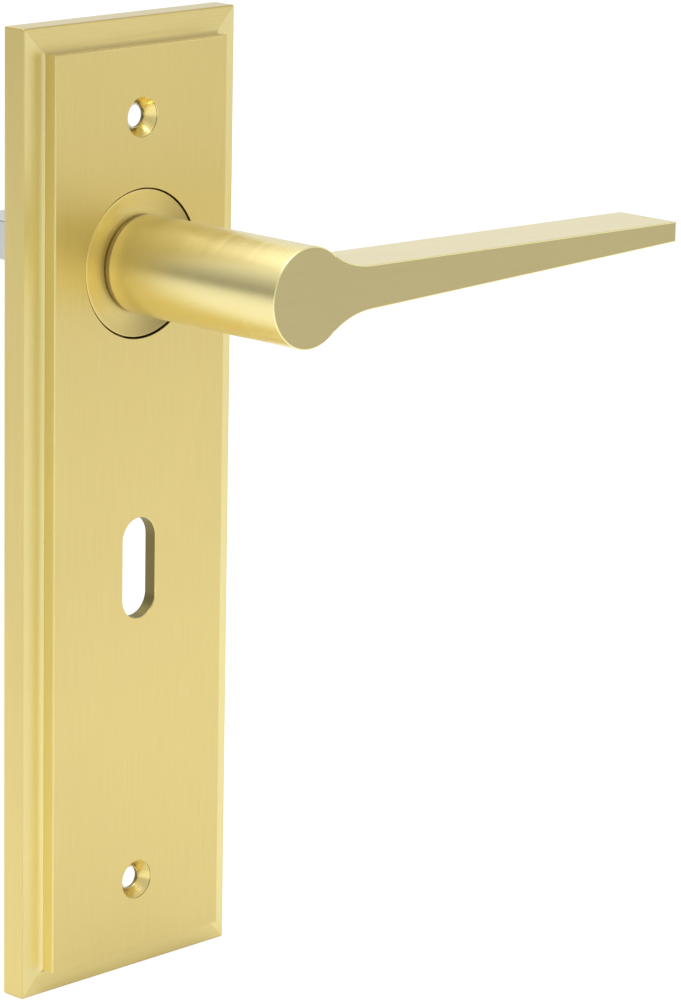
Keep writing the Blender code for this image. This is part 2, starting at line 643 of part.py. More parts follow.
def spring_housing(frame, material, pin_places):
    """A base around the rose's flange, a ring around the spring, and a post around each boss."""
    outline = rounded_rectangle(HOUSING_HALF_WIDTH, HOUSING_HALF_HEIGHT, POST_RADIUS)
    holes = [circle(POST_BORE, SMALL_STEPS, place) for place in BOSS_PLACES]
    flange_room = circle(ROSE_FLANGE_RADIUS + SEAT_GAP)
    loops = [outline, flange_room, *holes]
    housing = flat_part("spring_housing", loops, HOUSING_BASE_BACK, FLANGE_FRONT, frame, material)
    ring = [circle(HOUSING_RING_OUTER), circle(HOUSING_RING_INNER)]
    ring += [circle(STOP_PIN_RADIUS + RUNNING_GAP, SMALL_STEPS, place) for place in pin_places]
    combine(housing, flat_cutter("spring_ring", ring, SPRING_BACK, SPRING_FRONT, frame), "UNION")
    for number, place in enumerate(BOSS_PLACES, 1):
        tube = [circle(POST_RADIUS, SMALL_STEPS, place), circle(POST_BORE, SMALL_STEPS, place)]
        combine(housing, flat_cutter(f"post_{number}", tube, CAM_BACK, SPRING_FRONT, frame), "UNION")
    notch_start = HOUSING_RING_INNER - CUTTER_OVERRUN
    notch_end = HOUSING_RING_INNER + SPRING_TAB + SEAT_GAP
    notch = radial_block(notch_start, notch_end, SPRING_NOTCH_WIDTH, SPRING_OUTER_ANGLE)
    notch_back = SPRING_BACK - CUTTER_OVERRUN
    cut(housing, flat_cutter("outer_tab_notch", [notch], notch_back, SPRING_FRONT + SEAT_GAP, frame))
    return settle(housing)


def cover_plate(frame, material):
    outline = rounded_rectangle(HOUSING_HALF_WIDTH, HOUSING_HALF_HEIGHT, POST_RADIUS)
    loops = [outline, circle(WASHER_RADIUS + 2 * SEAT_GAP)]
    loops += [circle(COVER_SCREW_RADIUS + SEAT_GAP, SMALL_STEPS, place) for place in BOSS_PLACES]
    return settle(flat_part("cover_plate", loops, COVER_BACK, COVER_FRONT, frame, material))


def cover_screws(frame, material):
    """Four slotted screws that clamp the cover and the housing to the plate's bosses."""
    tip = COVER_FRONT + COVER_SCREW_LENGTH - 2 * SEAT_GAP
    chamfer = COVER_SCREW_RADIUS / 3
    profile = [
        (0.0, tip),
        (COVER_SCREW_RADIUS - chamfer, tip),
        (COVER_SCREW_RADIUS, tip - chamfer),
        (COVER_SCREW_RADIUS, SCREW_HEAD_FRONT),
        (COVER_SCREW_HEAD_RADIUS, SCREW_HEAD_FRONT),
        (COVER_SCREW_HEAD_RADIUS, DOOR_CLEARANCE + chamfer / 2),
        (COVER_SCREW_HEAD_RADIUS - chamfer / 2, DOOR_CLEARANCE),
        (0.0, DOOR_CLEARANCE),
    ]
    for number, (across, up) in enumerate(BOSS_PLACES, 1):
        place = Matrix.Translation((across, up, 0.0))
        screw = turned(f"cover_screw_{number}", profile, frame, material, steps=SMALL_STEPS, matrix=place)
        slot = box_data("screw_slot", SCREW_SLOT_WIDTH, 3 * COVER_SCREW_HEAD_RADIUS, 2 * SCREW_SLOT_DEPTH)
        turn = Matrix.Rotation(SCREW_SLOT_TURN * number, 4, "Z")
        slot_place = Matrix.Translation((across, up, DOOR_CLEARANCE)) @ turn
        cut(screw, add_cutter(f"screw_slot_{number}", slot, frame, slot_place))
        settle(screw)


# ---------------------------------------------------------------- handle, spindle and grub screw

def blade_outline():
    """The blade from the front: concave blends out of the shank, then a straight taper to the tip."""
    slope = (BLADE_ROOT_HEIGHT - BLADE_TIP_HEIGHT) / 2 / BLADE_REACH
    lean = math.atan(slope)
    # The blend's centre is BLEND_RADIUS off the blade's edge and off the shank's circle.
    reach = SHANK_RADIUS + BLEND_RADIUS
    offset = (BLADE_ROOT_HEIGHT / 2 + BLEND_RADIUS / math.cos(lean)) * math.cos(lean)
    centre_angle = math.asin(offset / reach) - lean
    centre = (reach * math.cos(centre_angle), reach * math.sin(centre_angle))
    start = centre_angle + math.pi
    end = 3 * math.pi / 2 - lean
    blend = arc(BLEND_RADIUS, start, end, BLEND_STEPS, centre)
    tip_centre = (BLADE_REACH - BLADE_TIP_ROUND, BLADE_TIP_HEIGHT / 2 - BLADE_TIP_ROUND)
    tip = arc(BLADE_TIP_ROUND, math.pi / 2 - lean, 0.0, BLADE_TIP_STEPS, tip_centre)
    upper = [(0.0, SHANK_RADIUS / 2), *blend, *tip]
    lower = [(x, -y) for x, y in reversed(upper)]
    return upper + lower


def lever_handle(frame, material):
    profile = [
        (0.0, HANDLE_PROJECTION),
        (SHANK_RADIUS, HANDLE_PROJECTION),
        (SHANK_RADIUS, SHOULDER),
        (NECK_RADIUS, SHOULDER),
        (NECK_RADIUS, CIRCLIP_FRONT + RUNNING_GAP / 2),
        (GROOVE_RADIUS, CIRCLIP_FRONT + RUNNING_GAP / 2),
        (GROOVE_RADIUS, CIRCLIP_BACK - RUNNING_GAP / 2),
        (NECK_RADIUS, CIRCLIP_BACK - RUNNING_GAP / 2),
        (NECK_RADIUS, NECK_END),
        (0.0, NECK_END),
    ]
    lever = turned("lever_handle", profile, frame, material, steps=2 * ROUND_STEPS)
    combine(lever, flat_cutter("blade", [blade_outline()], BLADE_BACK, HANDLE_PROJECTION, frame), "UNION")
    cut_start = NECK_END - CUTTER_OVERRUN
    socket = upright_block(-SOCKET_WIDTH / 2, SOCKET_WIDTH / 2, SOCKET_WIDTH / 2)
    cut(lever, flat_cutter("spindle_socket", [socket], cut_start, NECK_END + SPINDLE_SOCKET_DEPTH, frame))
    left = upright_block(-NECK_FLAT - NECK_RADIUS, -NECK_FLAT, NECK_RADIUS)
    right = upright_block(NECK_FLAT, NECK_FLAT + NECK_RADIUS, NECK_RADIUS)
    cut(lever, flat_cutter("neck_flat_left", [left], cut_start, THRUST_BACK, frame))
    cut(lever, flat_cutter("neck_flat_right", [right], cut_start, THRUST_BACK, frame))
    outside, inside = SHANK_RADIUS + CUTTER_OVERRUN, SOCKET_WIDTH / 4
    radius = GRUB_RADIUS + SEAT_GAP
    hole = [(0.0, outside), (radius, outside), (radius, inside), (0.0, inside)]
    cut(lever, turned_cutter("grub_hole", hole, frame, SMALL_STEPS, under_shank()))
    return settle(lever)


def under_shank():
    """Places a piece turned about its own Z so that it points down out of the shank's underside."""
    place = Matrix.Translation((0.0, 0.0, GRUB_HEIGHT_OFF_DOOR))
    return place @ Matrix.Rotation(math.radians(90.0), 4, "X")


def grub_screw(frame, material):
    """A set screw with a hexagon socket, seated on the spindle."""
    top = SHANK_RADIUS - GRUB_SUNK
    tip = SPINDLE_WIDTH / 2 + SEAT_GAP
    chamfer = GRUB_RADIUS / 5
    profile = [
        (0.0, top),
        (GRUB_RADIUS - chamfer, top),
        (GRUB_RADIUS, top - chamfer),
        (GRUB_RADIUS, tip + 2 * chamfer),
        (GRUB_RADIUS - 2 * chamfer, tip),
        (0.0, tip),
    ]
    screw = turned("grub_screw", profile, frame, material, steps=SMALL_STEPS, matrix=under_shank())
    outside, inside = top + CUTTER_OVERRUN, top - GRUB_KEY_DEPTH
    key = [(0.0, outside), (GRUB_KEY_RADIUS, outside), (GRUB_KEY_RADIUS, inside), (0.0, inside)]
    cut(screw, turned_cutter("grub_key", key, frame, HEXAGON, under_shank()))
    return settle(screw)


def spindle(frame, material):
    """A square bar from the handle's socket, through the plate, to the lock."""
    front = NECK_END + SPINDLE_SOCKET_DEPTH - 2 * SEAT_GAP
    length = front + SPINDLE_BEHIND_DOOR
    place = Matrix.Translation((0.0, 0.0, front - length / 2))
    data = box_data("spindle", SPINDLE_WIDTH, SPINDLE_WIDTH, length)
    bar = add_object("spindle", data, PARTS, frame, material, place)
    bevel = bar.modifiers.new("corners", "BEVEL")
    bevel.width = SPINDLE_CHAMFER
    bevel.segments = 1
    return settle(bar)


# ---------------------------------------------------------------- build

def build():
    door = make_frame("door_frame")
    axis = make_frame("spindle_axis")
    brass = make_material("satin_brass", (0.66, 0.53, 0.23), 0.38, 1.0)
    bronze = make_material("collar_bronze", (0.35, 0.27, 0.10), 0.50, 1.0)
    zinc = make_material("plated_zinc", (0.55, 0.56, 0.57), 0.45, 1.0)
    steel = make_material("bright_steel", (0.62, 0.62, 0.61), 0.30, 1.0)
    spring_steel = make_material("spring_steel", (0.30, 0.32, 0.35), 0.35, 1.0)
    black_steel = make_material("black_steel", (0.07, 0.07, 0.075), 0.45, 1.0)
    nylon = make_material("black_nylon", (0.04, 0.04, 0.042), 0.60, 0.0)
    backplate(door, brass)
    bearing_rose(door, brass)
    shank_collar(door, bronze)
    neck_bush(door, nylon)
    thrust_washer(door, nylon)
    pin_places = stop_pins(door, steel)
    spring_housing(door, zinc, pin_places)
    return_spring(door, spring_steel)
    cover_plate(door, zinc)
    cover_screws(door, steel)
    lever_handle(axis, brass)
    stop_cam(axis, steel)
    wave_washer(axis, spring_steel)
    circlip(axis, black_steel)
    spindle(axis, steel)
    grub_screw(axis, black_steel)


clear_scene()
PARTS = make_collection("lever_handle_lockset")
CUTTERS = make_collection("cutters")
build()
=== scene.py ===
"""Looks of a sprung brass lever handle on its stepped backplate.

Everything is drawn in a door frame, X across the door, Y up it and Z off it, and is then stood up, so
that finished pieces share the part's own frame, in metres.
"""

import math

import bmesh
import bpy
from bpy.props import FloatProperty, FloatVectorProperty, PointerProperty
from mathutils import Matrix, Vector


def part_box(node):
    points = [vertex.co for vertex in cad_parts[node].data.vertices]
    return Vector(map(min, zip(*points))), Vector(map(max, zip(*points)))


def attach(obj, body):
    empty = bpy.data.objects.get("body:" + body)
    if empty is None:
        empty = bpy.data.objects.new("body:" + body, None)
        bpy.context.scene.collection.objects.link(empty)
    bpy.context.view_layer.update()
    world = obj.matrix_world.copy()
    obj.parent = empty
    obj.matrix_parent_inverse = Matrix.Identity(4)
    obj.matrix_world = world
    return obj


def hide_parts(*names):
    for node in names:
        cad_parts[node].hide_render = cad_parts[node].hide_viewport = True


bl_info = {
    "name": "Lever Handle Lockset",
    "version": (1, 0, 0),
    "blender": (4, 5, 0),
    "location": "View3D > Sidebar > Lockset",
    "description": "Builds the brass lever handle, its backplate and its studio",
    "category": "Add Mesh",
}

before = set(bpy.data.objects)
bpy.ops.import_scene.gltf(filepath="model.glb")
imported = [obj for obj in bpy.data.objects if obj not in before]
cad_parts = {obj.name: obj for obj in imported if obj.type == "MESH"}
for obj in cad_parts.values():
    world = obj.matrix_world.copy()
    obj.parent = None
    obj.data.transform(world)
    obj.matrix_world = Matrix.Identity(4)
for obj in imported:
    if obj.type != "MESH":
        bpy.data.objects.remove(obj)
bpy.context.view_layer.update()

MM = 0.001
SMOOTH_ANGLE = math.radians(30.0)
ROUND = 128
SMALL_ROUND = 48
RUBBED_WIDTH = 0.12 * MM
PAST = 1.0 * MM  # how far a cutter runs past what it cuts
OVERLAP = 0.1 * MM  # how far a piece sinks into the one that it is joined to
FACING = 0.999  # at least this much of a normal along an axis means that the face looks that way
ALONG = 0.9  # at least this much of an edge along an axis means that the edge runs that way

COVE_SWEEP = math.radians(40.0)
COVE_STEPS = 8
ROUNDING_STEPS = 4
DISH_STEPS = 12
SEAT_SHIFT = (0.06 * MM, -0.05 * MM, 0.0)  # the seat was cut a hair off the spindle's axis

BLADE_ROOT = 6.0 * MM  # the blade's block starts inside the shank
BLEND_CUTS = [7.9 * MM + 0.75 * MM * step for step in range(27)]
TAPER_CUTS = [30.0 * MM + 8.0 * MM * step for step in range(9)]
TIP_CUTS = 6

MOULDING_WIDTH = 5.0 * MM  # the stepped edge, from the plate's outside to the raised field
SLACK = 0.1 * MM
HIGHLIGHT_ON_SIDES, HIGHLIGHT_ON_TOP, HIGHLIGHT_ON_BOTTOM = 0.8, 0.25, 0.3  # painted highlight: share of the stepped edge's brighter brass on the sides, the top and the bottom


def cad(node):
    """A CAD node's box in the door frame: (left, right), (bottom, top), (back, front)."""
    low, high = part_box(node)
    return (low.x, high.x), (low.z, high.z), (-high.y, -low.y)


PLATE_X, PLATE_Y, PLATE_Z = cad("backplate")
ROSE_X, _, ROSE_Z = cad("bearing_rose")
COLLAR_X, _, COLLAR_Z = cad("shank_collar")
LEVER_X, _, LEVER_Z = cad("lever_handle")
COVER_X, COVER_Y, COVER_Z = cad("cover_plate")
SCREW_X, SCREW_Y, SCREW_Z = cad("cover_screw_2")
SPINDLE_X, SPINDLE_Y, SPINDLE_Z = cad("spindle")
CLIP_X, _, CLIP_Z = cad("circlip")
GRUB_X, GRUB_Y, GRUB_Z = cad("grub_screw")
_, _, CAM_Z = cad("stop_cam")


# ---------------------------------------------------------------- sizes and colours

def length(name, description, default):
    return FloatProperty(
        name=name, description=description, default=default, min=0.0, unit="LENGTH", subtype="DISTANCE",
        precision=5,
    )


def angle(name, description, degrees):
    return FloatProperty(
        name=name, description=description, default=math.radians(degrees), unit="ROTATION", subtype="ANGLE"
    )


def power(name, description, default):
    return FloatProperty(
        name=name, description=description, default=default, min=0.0, unit="POWER", subtype="POWER"
    )


def colour(name, description, default):
    return FloatVectorProperty(
        name=name, description=description, default=default, size=3, min=0.0, max=1.0, subtype="COLOR"
    )


class LocksetPlateSizes(bpy.types.PropertyGroup):
    border_height: length("Border height", "Thickness of the plate at its flat border", 5.1 * MM)
    border_flat: length("Border flat", "Width of the flat border", 3.45 * MM)
    cove_radius: length("Cove radius", "Radius of the sweep from the border up to the riser", 2.1 * MM)
    field_edge: length("Field edge", "Rounding of the raised field's edge", 0.28 * MM)
    outer_edge: length("Outer edge", "Rounding of the plate's outer edges", 0.32 * MM)
    hollow_inset: length("Hollow inset", "From the plate's edge to the hollow in its back", 7.1 * MM)
    hollow_depth: length("Hollow depth", "Depth of the hollow in the back", 5.6 * MM)
    hollow_corner: length("Hollow corner", "Corner radius of the hollow", 3.0 * MM)
    keyhole_below: length("Keyhole below", "From the spindle down to the keyhole's middle", 57.0 * MM)
    keyhole_length: length("Keyhole length", "Length of the keyhole slot", 19.1 * MM)
    keyhole_width: length("Keyhole width", "Width of the keyhole slot", 8.2 * MM)
    keyhole_rim: length("Keyhole rim", "Rounding of the keyhole's rim", 0.2 * MM)
    top_fixing: length("Top fixing", "From the spindle up to the top fixing hole", 26.7 * MM)
    bottom_fixing: length("Bottom fixing", "From the spindle down to the bottom fixing hole", 117.3 * MM)
    fixing_radius: length("Fixing radius", "Radius of a fixing hole", 2.05 * MM)
    sink_radius: length("Countersink radius", "Radius of a countersink at the face", 3.65 * MM)
    sink_rim: length("Countersink rim", "Height of the upright rim above a countersink", 0.25 * MM)
    sink_edge: length("Countersink edge", "Easing of a countersink's rim", 0.08 * MM)
    seat_radius: length("Seat radius", "Radius of the hole that the rose sits in", 13.85 * MM)
    seat_rim: length("Seat rim", "Rounding of the rim round the rose", 0.1 * MM)


class LocksetRoseSizes(bpy.types.PropertyGroup):
    radius: length("Rose radius", "Radius of the rose's seen disc", 13.6 * MM)
    bore: length("Rose bore", "Radius of the hole that the neck turns in", 8.55 * MM)
    inner: length("Inner land", "Radius where the dish meets the collar", 9.05 * MM)
    flange_front: length("Flange front", "Height of the hidden flange's front", 5.35 * MM)
    dish: length("Dish", "Depth of the rose's dish", 0.14 * MM)
    edge: length("Rose edge", "Rounding of the rose's edge", 0.22 * MM)
    collar_bore: length("Collar bore", "Radius of the collar's hole", 7.75 * MM)
    collar_edge: length("Collar edge", "Flat on the collar's edges", 0.12 * MM)


class LocksetLeverSizes(bpy.types.PropertyGroup):
    shank_radius: length("Shank radius", "Radius of the round shank", 9.2 * MM)
    blade_depth: length("Blade depth", "Thickness of the blade from front to back", 13.7 * MM)
    blade_root: length("Blade root", "Height of the blade's taper at the shank's axis", 8.84 * MM)
    blade_tip: length("Blade tip", "Height of the blade at its tip", 3.9 * MM)
    blend_radius: length("Blend radius", "Radius of the sweep between the shank and the blade", 18.0 * MM)
    tip_round: length("Tip rounding", "Rounding of the blade's tip as seen from above", 0.9 * MM)
    edge: length("Edge", "Rounding along the blade and the shank's end", 0.22 * MM)
    shank_edge: length("Shank edge", "Rounding of the shank's foot and the neck's end", 0.25 * MM)
    shoulder_gap: length("Shoulder gap", "From the collar's front to the shank", 0.15 * MM)
    neck_radius: length("Neck radius", "Radius of the neck behind the shank", 7.6 * MM)
    groove_radius: length("Groove radius", "Radius at the floor of the circlip's groove", 6.55 * MM)
    groove_gap: length("Groove gap", "Play of the circlip in its groove, each side", 0.075 * MM)
    flat_half: length("Neck flat", "From the axis to a flat of the neck", 6.2 * MM)
    flat_front: length("Flat front", "Height where the neck's flats end", 4.1 * MM)
    socket_gap: length("Socket gap", "Play of the spindle in its socket, each side", 0.25 * MM)
    screw_hole: length("Screw hole", "Radius of the grub screw's hole", 2.55 * MM)
    screw_rim: length("Screw rim", "Rounding of the grub screw hole's rim", 0.15 * MM)


class LocksetInnerSizes(bpy.types.PropertyGroup):
    spindle_corner: length("Spindle corner", "Rounding of the spindle's long corners", 0.45 * MM)
    spindle_end: length("Spindle end", "Chamfer of the spindle's ends", 0.3 * MM)
    grub_point: length("Grub point", "Length of the grub screw's point", 0.9 * MM)
    grub_chamfer: length("Grub chamfer", "Chamfer of the grub screw's head", 0.4 * MM)
    key_radius: length("Key radius", "Radius over the corners of the hexagon key", 1.25 * MM)
    key_depth: length("Key depth", "Depth of the hexagon key", 1.8 * MM)
    cover_corner: length("Cover corner", "Corner radius of the cover", 3.85 * MM)
    cover_edge: length("Cover edge", "Rounding of the cover's edges", 0.1 * MM)
    cover_hole: length("Cover hole", "Radius of the hole in the cover's middle", 9.7 * MM)
    screw_clearance: length("Screw clearance", "Radius of the cover's screw holes", 1.3 * MM)
    boss_radius: length("Boss radius", "Radius of the plate's screw bosses", 2.6 * MM)
    boss_hole: length("Boss hole", "Radius of the hole in a boss", 1.2 * MM)
    screw_radius: length("Screw radius", "Radius of a cover screw's thread", 1.05 * MM)
    screw_head: length("Screw head", "Thickness of a cover screw's head", 0.55 * MM)
    screw_point: length("Screw point", "Chamfer of a cover screw's point", 0.35 * MM)
    slot_width: length("Slot width", "Width of a cover screw's slot", 0.5 * MM)
    slot_depth: length("Slot depth", "Depth of a cover screw's slot", 0.3 * MM)
    slot_turn: angle("Slot turn", "How far each cover screw is turned from the last", 35.0)
    clip_bore: length("Circlip bore", "Inner radius of the circlip", 6.7 * MM)
    mouth_radius: length("Mouth radius", "Radius over the corners of the circlip's opening", 16.0 * MM)
    mouth_below: length("Mouth below", "From the axis down to the middle of the opening", 17.5 * MM)


class LocksetFinishes(bpy.types.PropertyGroup):
    brass: colour("Brass", "Satin brass", (0.80, 0.655, 0.265))
    # Painted shade: the darker brass of the lever's front faces.
    front_shade: colour("Matte brass", "Matte brass of the lever's front", (0.505, 0.43, 0.213))
    shank: colour("Shank brass", "Paler brass of the turned shank", (0.93, 0.82, 0.41))
    # Painted highlight: the brighter brass of the plate's stepped edge.
    moulding_highlight: colour("Moulding brass", "Brighter brass of the plate's stepped edge", (0.87, 0.77, 0.38))
    # Painted shade: the collar's dark colour stands for the shade in the gap round the shank.
    bronze: colour("Bronze", "Aged collar", (0.40, 0.31, 0.13))
    zinc: colour("Zinc", "Zinc plating", (0.55, 0.56, 0.57))
    steel: colour("Steel", "Bright steel", (0.62, 0.62, 0.61))
    spring_steel: colour("Spring steel", "Blued spring steel", (0.30, 0.32, 0.35))
    black_steel: colour("Black steel", "Oiled black steel", (0.07, 0.07, 0.075))
    nylon: colour("Nylon", "Black nylon", (0.04, 0.04, 0.042))


class LocksetStage(bpy.types.PropertyGroup):
    floor: colour("Floor", "Pale floor", (0.86, 0.86, 0.85))
    sky: FloatProperty(
        name="Sky", description="Brightness of the soft light all round", default=0.62, min=0.0
    )
    overhead: power("Overhead light", "Power of the soft light above", 9.0)
    side: power("Side light", "Power of the soft light at the side", 3.0)
    lens: FloatProperty(
        name="Lens", description="Focal length of the camera", default=163.33, min=1.0, unit="CAMERA"
    )
    yaw: angle("Yaw", "How far the camera is turned to its right", 46.23)
    pitch: angle("Pitch", "How far the camera looks up, or down when negative", -13.79)
    roll: angle("Roll", "How far the camera is rolled", 1.09)
    distance: length("Distance", "From the camera to what it looks at", 853.92 * MM)
    aim: FloatVectorProperty(
        name="Aim", description="What the camera looks at", size=3, unit="LENGTH", subtype="TRANSLATION",
        default=(40.99 * MM, -20.0 * MM, -48.69 * MM),
    )


# ---------------------------------------------------------------- modelling helpers

def deselect():
    bpy.ops.object.select_all(action="DESELECT")


def activate(piece):
    deselect()
    piece.select_set(True)
    bpy.context.view_layer.objects.active = piece


def add(name, operator, **arguments):
    """One new primitive, alone in the selection, its size and place applied to its mesh."""
    deselect()
    operator(**arguments)
    piece = bpy.context.object
    piece.name = name
    piece.data.name = name
    bpy.ops.object.transform_apply(location=True, rotation=True, scale=True)
    return piece


def add_block(name, x, y, z):
    middle = [(low + high) / 2 for low, high in (x, y, z)]
    size = [high - low for low, high in (x, y, z)]
    return add(name, bpy.ops.mesh.primitive_cube_add, size=1.0, location=middle, scale=size)


def edit(piece):
    activate(piece)
    bpy.ops.object.mode_set(mode="EDIT")
    bpy.ops.mesh.select_mode(type="VERT")
    bpy.ops.mesh.select_all(action="DESELECT")


def leave():
    bpy.ops.object.mode_set(mode="OBJECT")


def pick(piece, kind, test):
    """In edit mode, selects only the vertices, edges or faces that pass the test."""
    bpy.ops.mesh.select_mode(type={"verts": "VERT", "edges": "EDGE", "faces": "FACE"}[kind])
    bpy.ops.mesh.select_all(action="DESELECT")
    mesh = bmesh.from_edit_mesh(piece.data)
    found = 0
    for item in getattr(mesh, kind):
        if test(item):
            item.select_set(True)
            found += 1
    bmesh.update_edit_mesh(piece.data)
    if not found:
        raise RuntimeError(f"nothing to select on {piece.name}")


def near(value, target, slack=1e-5):
    return abs(value - target) < slack


def edge_middle(edge):
    return (edge.verts[0].co + edge.verts[1].co) / 2


def edge_way(edge):
    return (edge.verts[1].co - edge.verts[0].co).normalized()


def quarter(radius, steps):
    """Steps of a quarter round that leaves a wall and lies down on a face: (inwards, upwards) each time."""
    moves = []
    for step in range(steps):
        before, after = (math.pi / 2 * part / steps for part in (step, step + 1))
        inwards = radius * (math.cos(before) - math.cos(after))
        moves.append((inwards, radius * (math.sin(after) - math.sin(before))))
    return moves


def turned(name, profile, closed=False, steps=ROUND):
    """A circle drawn out along a profile of (radius, height), its ends capped or brought together."""
    radius, height = profile[0]
    piece = add(
        name, bpy.ops.mesh.primitive_circle_add, vertices=steps, radius=radius, location=(0, 0, height)
    )
    edit(piece)
    bpy.ops.mesh.select_all(action="SELECT")
    if not closed:
        bpy.ops.mesh.edge_face_add()
    for next_radius, next_height in profile[1:] + (profile[:1] if closed else []):
        bpy.ops.mesh.extrude_region_move(TRANSFORM_OT_translate={"value": (0, 0, next_height - height)})
        scale = next_radius / radius
        bpy.ops.transform.resize(value=(scale, scale, 1.0), center_override=(0.0, 0.0, next_height))
        radius, height = next_radius, next_height
    bpy.ops.mesh.select_all(action="SELECT")
    bpy.ops.mesh.remove_doubles(threshold=1e-7)
    bpy.ops.mesh.normals_make_consistent(inside=False)
    leave()
    return piece


def apply_modifier(piece, kind, **settings):
    activate(piece)
    bpy.ops.object.modifier_add(type=kind)
    modifier = piece.modifiers[-1]
    for key, value in settings.items():
        setattr(modifier, key, value)
    bpy.ops.object.modifier_apply(modifier=modifier.name)


def combine(piece, other, operation):
    """Adds or cuts another piece, which is used up."""
    apply_modifier(piece, "BOOLEAN", object=other, operation=operation, solver="MANIFOLD")
    bpy.data.objects.remove(other, do_unlink=True)


def merge_flat(piece):
    """Joins faces that lie in one plane after a cut."""
    edit(piece)
    bpy.ops.mesh.select_all(action="SELECT")
    bpy.ops.mesh.remove_doubles(threshold=1.5e-5)
    bpy.ops.mesh.dissolve_limited(angle_limit=math.radians(0.05))
    leave()


def settle(piece, place):
    """Moves and turns a piece to its place, and applies that to its mesh."""
    activate(piece)
    piece.matrix_world = place
    bpy.ops.object.transform_apply(location=True, rotation=True, scale=True)
    return piece


def copy_of(piece, name, move, turn=0.0):
    activate(piece)
    bpy.ops.object.duplicate(linked=False)
    twin = bpy.context.object
    twin.name = name
    twin.data.name = name
    return settle(twin, Matrix.Translation(move) @ Matrix.Rotation(turn, 4, "Z"))


def screw_places():
    """The middles of the four cover screws."""
    across, up = (SCREW_X[0] + SCREW_X[1]) / 2, (SCREW_Y[0] + SCREW_Y[1]) / 2
    return [(-across, up, 0.0), (across, up, 0.0), (across, -up, 0.0), (-across, -up, 0.0)]


def mark_rubbed(piece):
    """Marks the narrow faces of rounded edges."""
    rubbed, = add_marks(piece, "rubbed")
    for face in piece.data.polygons:
        around = [piece.data.vertices[corner].co for corner in face.vertices]
        outline = sum((here - there).length for here, there in zip(around, around[1:] + around[:1]))
        rubbed[face.index].value = 1.0 if 2 * face.area / outline < RUBBED_WIDTH else 0.0


def add_marks(piece, *names):
    """New per-face marks, fetched once they have all been made."""
    for name in names:
        piece.data.attributes.new(name, "FLOAT", "FACE")
    return [piece.data.attributes[name].data for name in names]


def present(piece, body, node, slot, *finishes):
    """Stands a finished piece up in the part's frame, smooths it, and gives it its finish and its body."""
    activate(piece)
    piece.rotation_euler = (math.radians(90.0), 0.0, 0.0)
    bpy.ops.object.transform_apply(location=True, rotation=True, scale=True)
    bpy.ops.object.shade_smooth_by_angle(angle=SMOOTH_ANGLE)
    apply_modifier(piece, "WEIGHTED_NORMAL", keep_sharp=True, weight=100)
    piece.data.materials.clear()
    for finish_made in finishes:
        piece.data.materials.append(finish_made)
    mark_rubbed(piece)
    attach(piece, body)
    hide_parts(node)
    return piece


# ---------------------------------------------------------------- shared effects, as node groups

class Tree:
    """Short ways to add nodes to one node tree and to join them."""

    def __init__(self, tree):
        self.tree = tree

    def node(self, kind, settings=None, **inputs):
        node = self.tree.nodes.new(kind)
        for key, value in (settings or {}).items():
            setattr(node, key, value)
        for key, value in inputs.items():
            self.join(value, node.inputs[key.replace("_", " ")])
        return node

    def join(self, value, socket):
        if isinstance(value, bpy.types.NodeSocket):
            self.tree.links.new(value, socket)
        else:
            socket.default_value = value

    def math(self, operation, *values, clamp=False):
        node = self.tree.nodes.new("ShaderNodeMath")
        node.operation = operation
        node.use_clamp = clamp
        for value, socket in zip(values, node.inputs):
            self.join(value, socket)
        return node.outputs[0]

    def noise(self, vector, scale, detail=3.0, roughness=0.55):
        node = self.node(
            "ShaderNodeTexNoise", {"noise_dimensions": "3D"},
            Vector=vector, Scale=scale, Detail=detail, Roughness=roughness,
        )
        return node.outputs["Fac"]

    def spread(self, value, low, high, to_low, to_high):
        """Maps low..high to to_low..to_high, held at the ends."""
        node = self.node("ShaderNodeMapRange", {"clamp": True})
        for key, number in zip(("From Min", "From Max", "To Min", "To Max"), (low, high, to_low, to_high)):
            self.join(number, node.inputs[key])
        self.join(value, node.inputs["Value"])
        return node.outputs["Result"]

    def stretch(self, vector, scale):
        node = self.tree.nodes.new("ShaderNodeVectorMath")
        node.operation = "MULTIPLY"
        self.join(vector, node.inputs[0])
        self.join(scale, node.inputs[1])
        return node.outputs[0]

    def mix(self, factor, first, second, blend="MIX"):
        node = self.tree.nodes.new("ShaderNodeMix")
        node.data_type = "RGBA"
        node.blend_type = blend
        self.join(factor, node.inputs["Factor"])
        for value, key in ((first, 6), (second, 7)):
            if not isinstance(value, bpy.types.NodeSocket):
                value = (*value[:3], 1.0)
            self.join(value, node.inputs[key])
        return node.outputs[2]


def make_group(name, inputs, outputs):
    """An empty node group with its sockets, and the ends that its nodes join."""
    group = bpy.data.node_groups.new(name, "ShaderNodeTree")
    for title, kind, default in inputs:
        socket = group.interface.new_socket(name=title, in_out="INPUT", socket_type=f"NodeSocket{kind}")
        if default is not None:
            socket.default_value = default
    for title, kind in outputs:
        group.interface.new_socket(name=title, in_out="OUTPUT", socket_type=f"NodeSocket{kind}")
    start = group.nodes.new("NodeGroupInput").outputs
    end = group.nodes.new("NodeGroupOutput").inputs
    return group, Tree(group), start, end


GRAIN_INPUTS = [
    ("Vector", "Vector", None), ("Stretch", "Vector", (4000.0, 4000.0, 120.0)), ("Coarse", "Float", 0.4),
]
GRAIN_OUTPUTS = [("Lines", "Float"), ("Bands", "Float")]


def draw_lines(t, vector, start, end):
    """Stretched noise at two widths: fine and wide lines mixed, and the wide bands alone."""
    drawn = t.stretch(vector, start["Stretch"])
    fine = t.noise(drawn, 1.0, 2.0, 0.6)
    wide = t.noise(t.stretch(drawn, (0.23, 0.23, 0.23)), 1.0, 3.0, 0.6)
    share = t.math("SUBTRACT", 1.0, start["Coarse"])
    lines = t.math("ADD", t.math("MULTIPLY", fine, share), t.math("MULTIPLY", wide, start["Coarse"]))
    t.join(lines, end["Lines"])
    t.join(wide, end["Bands"])


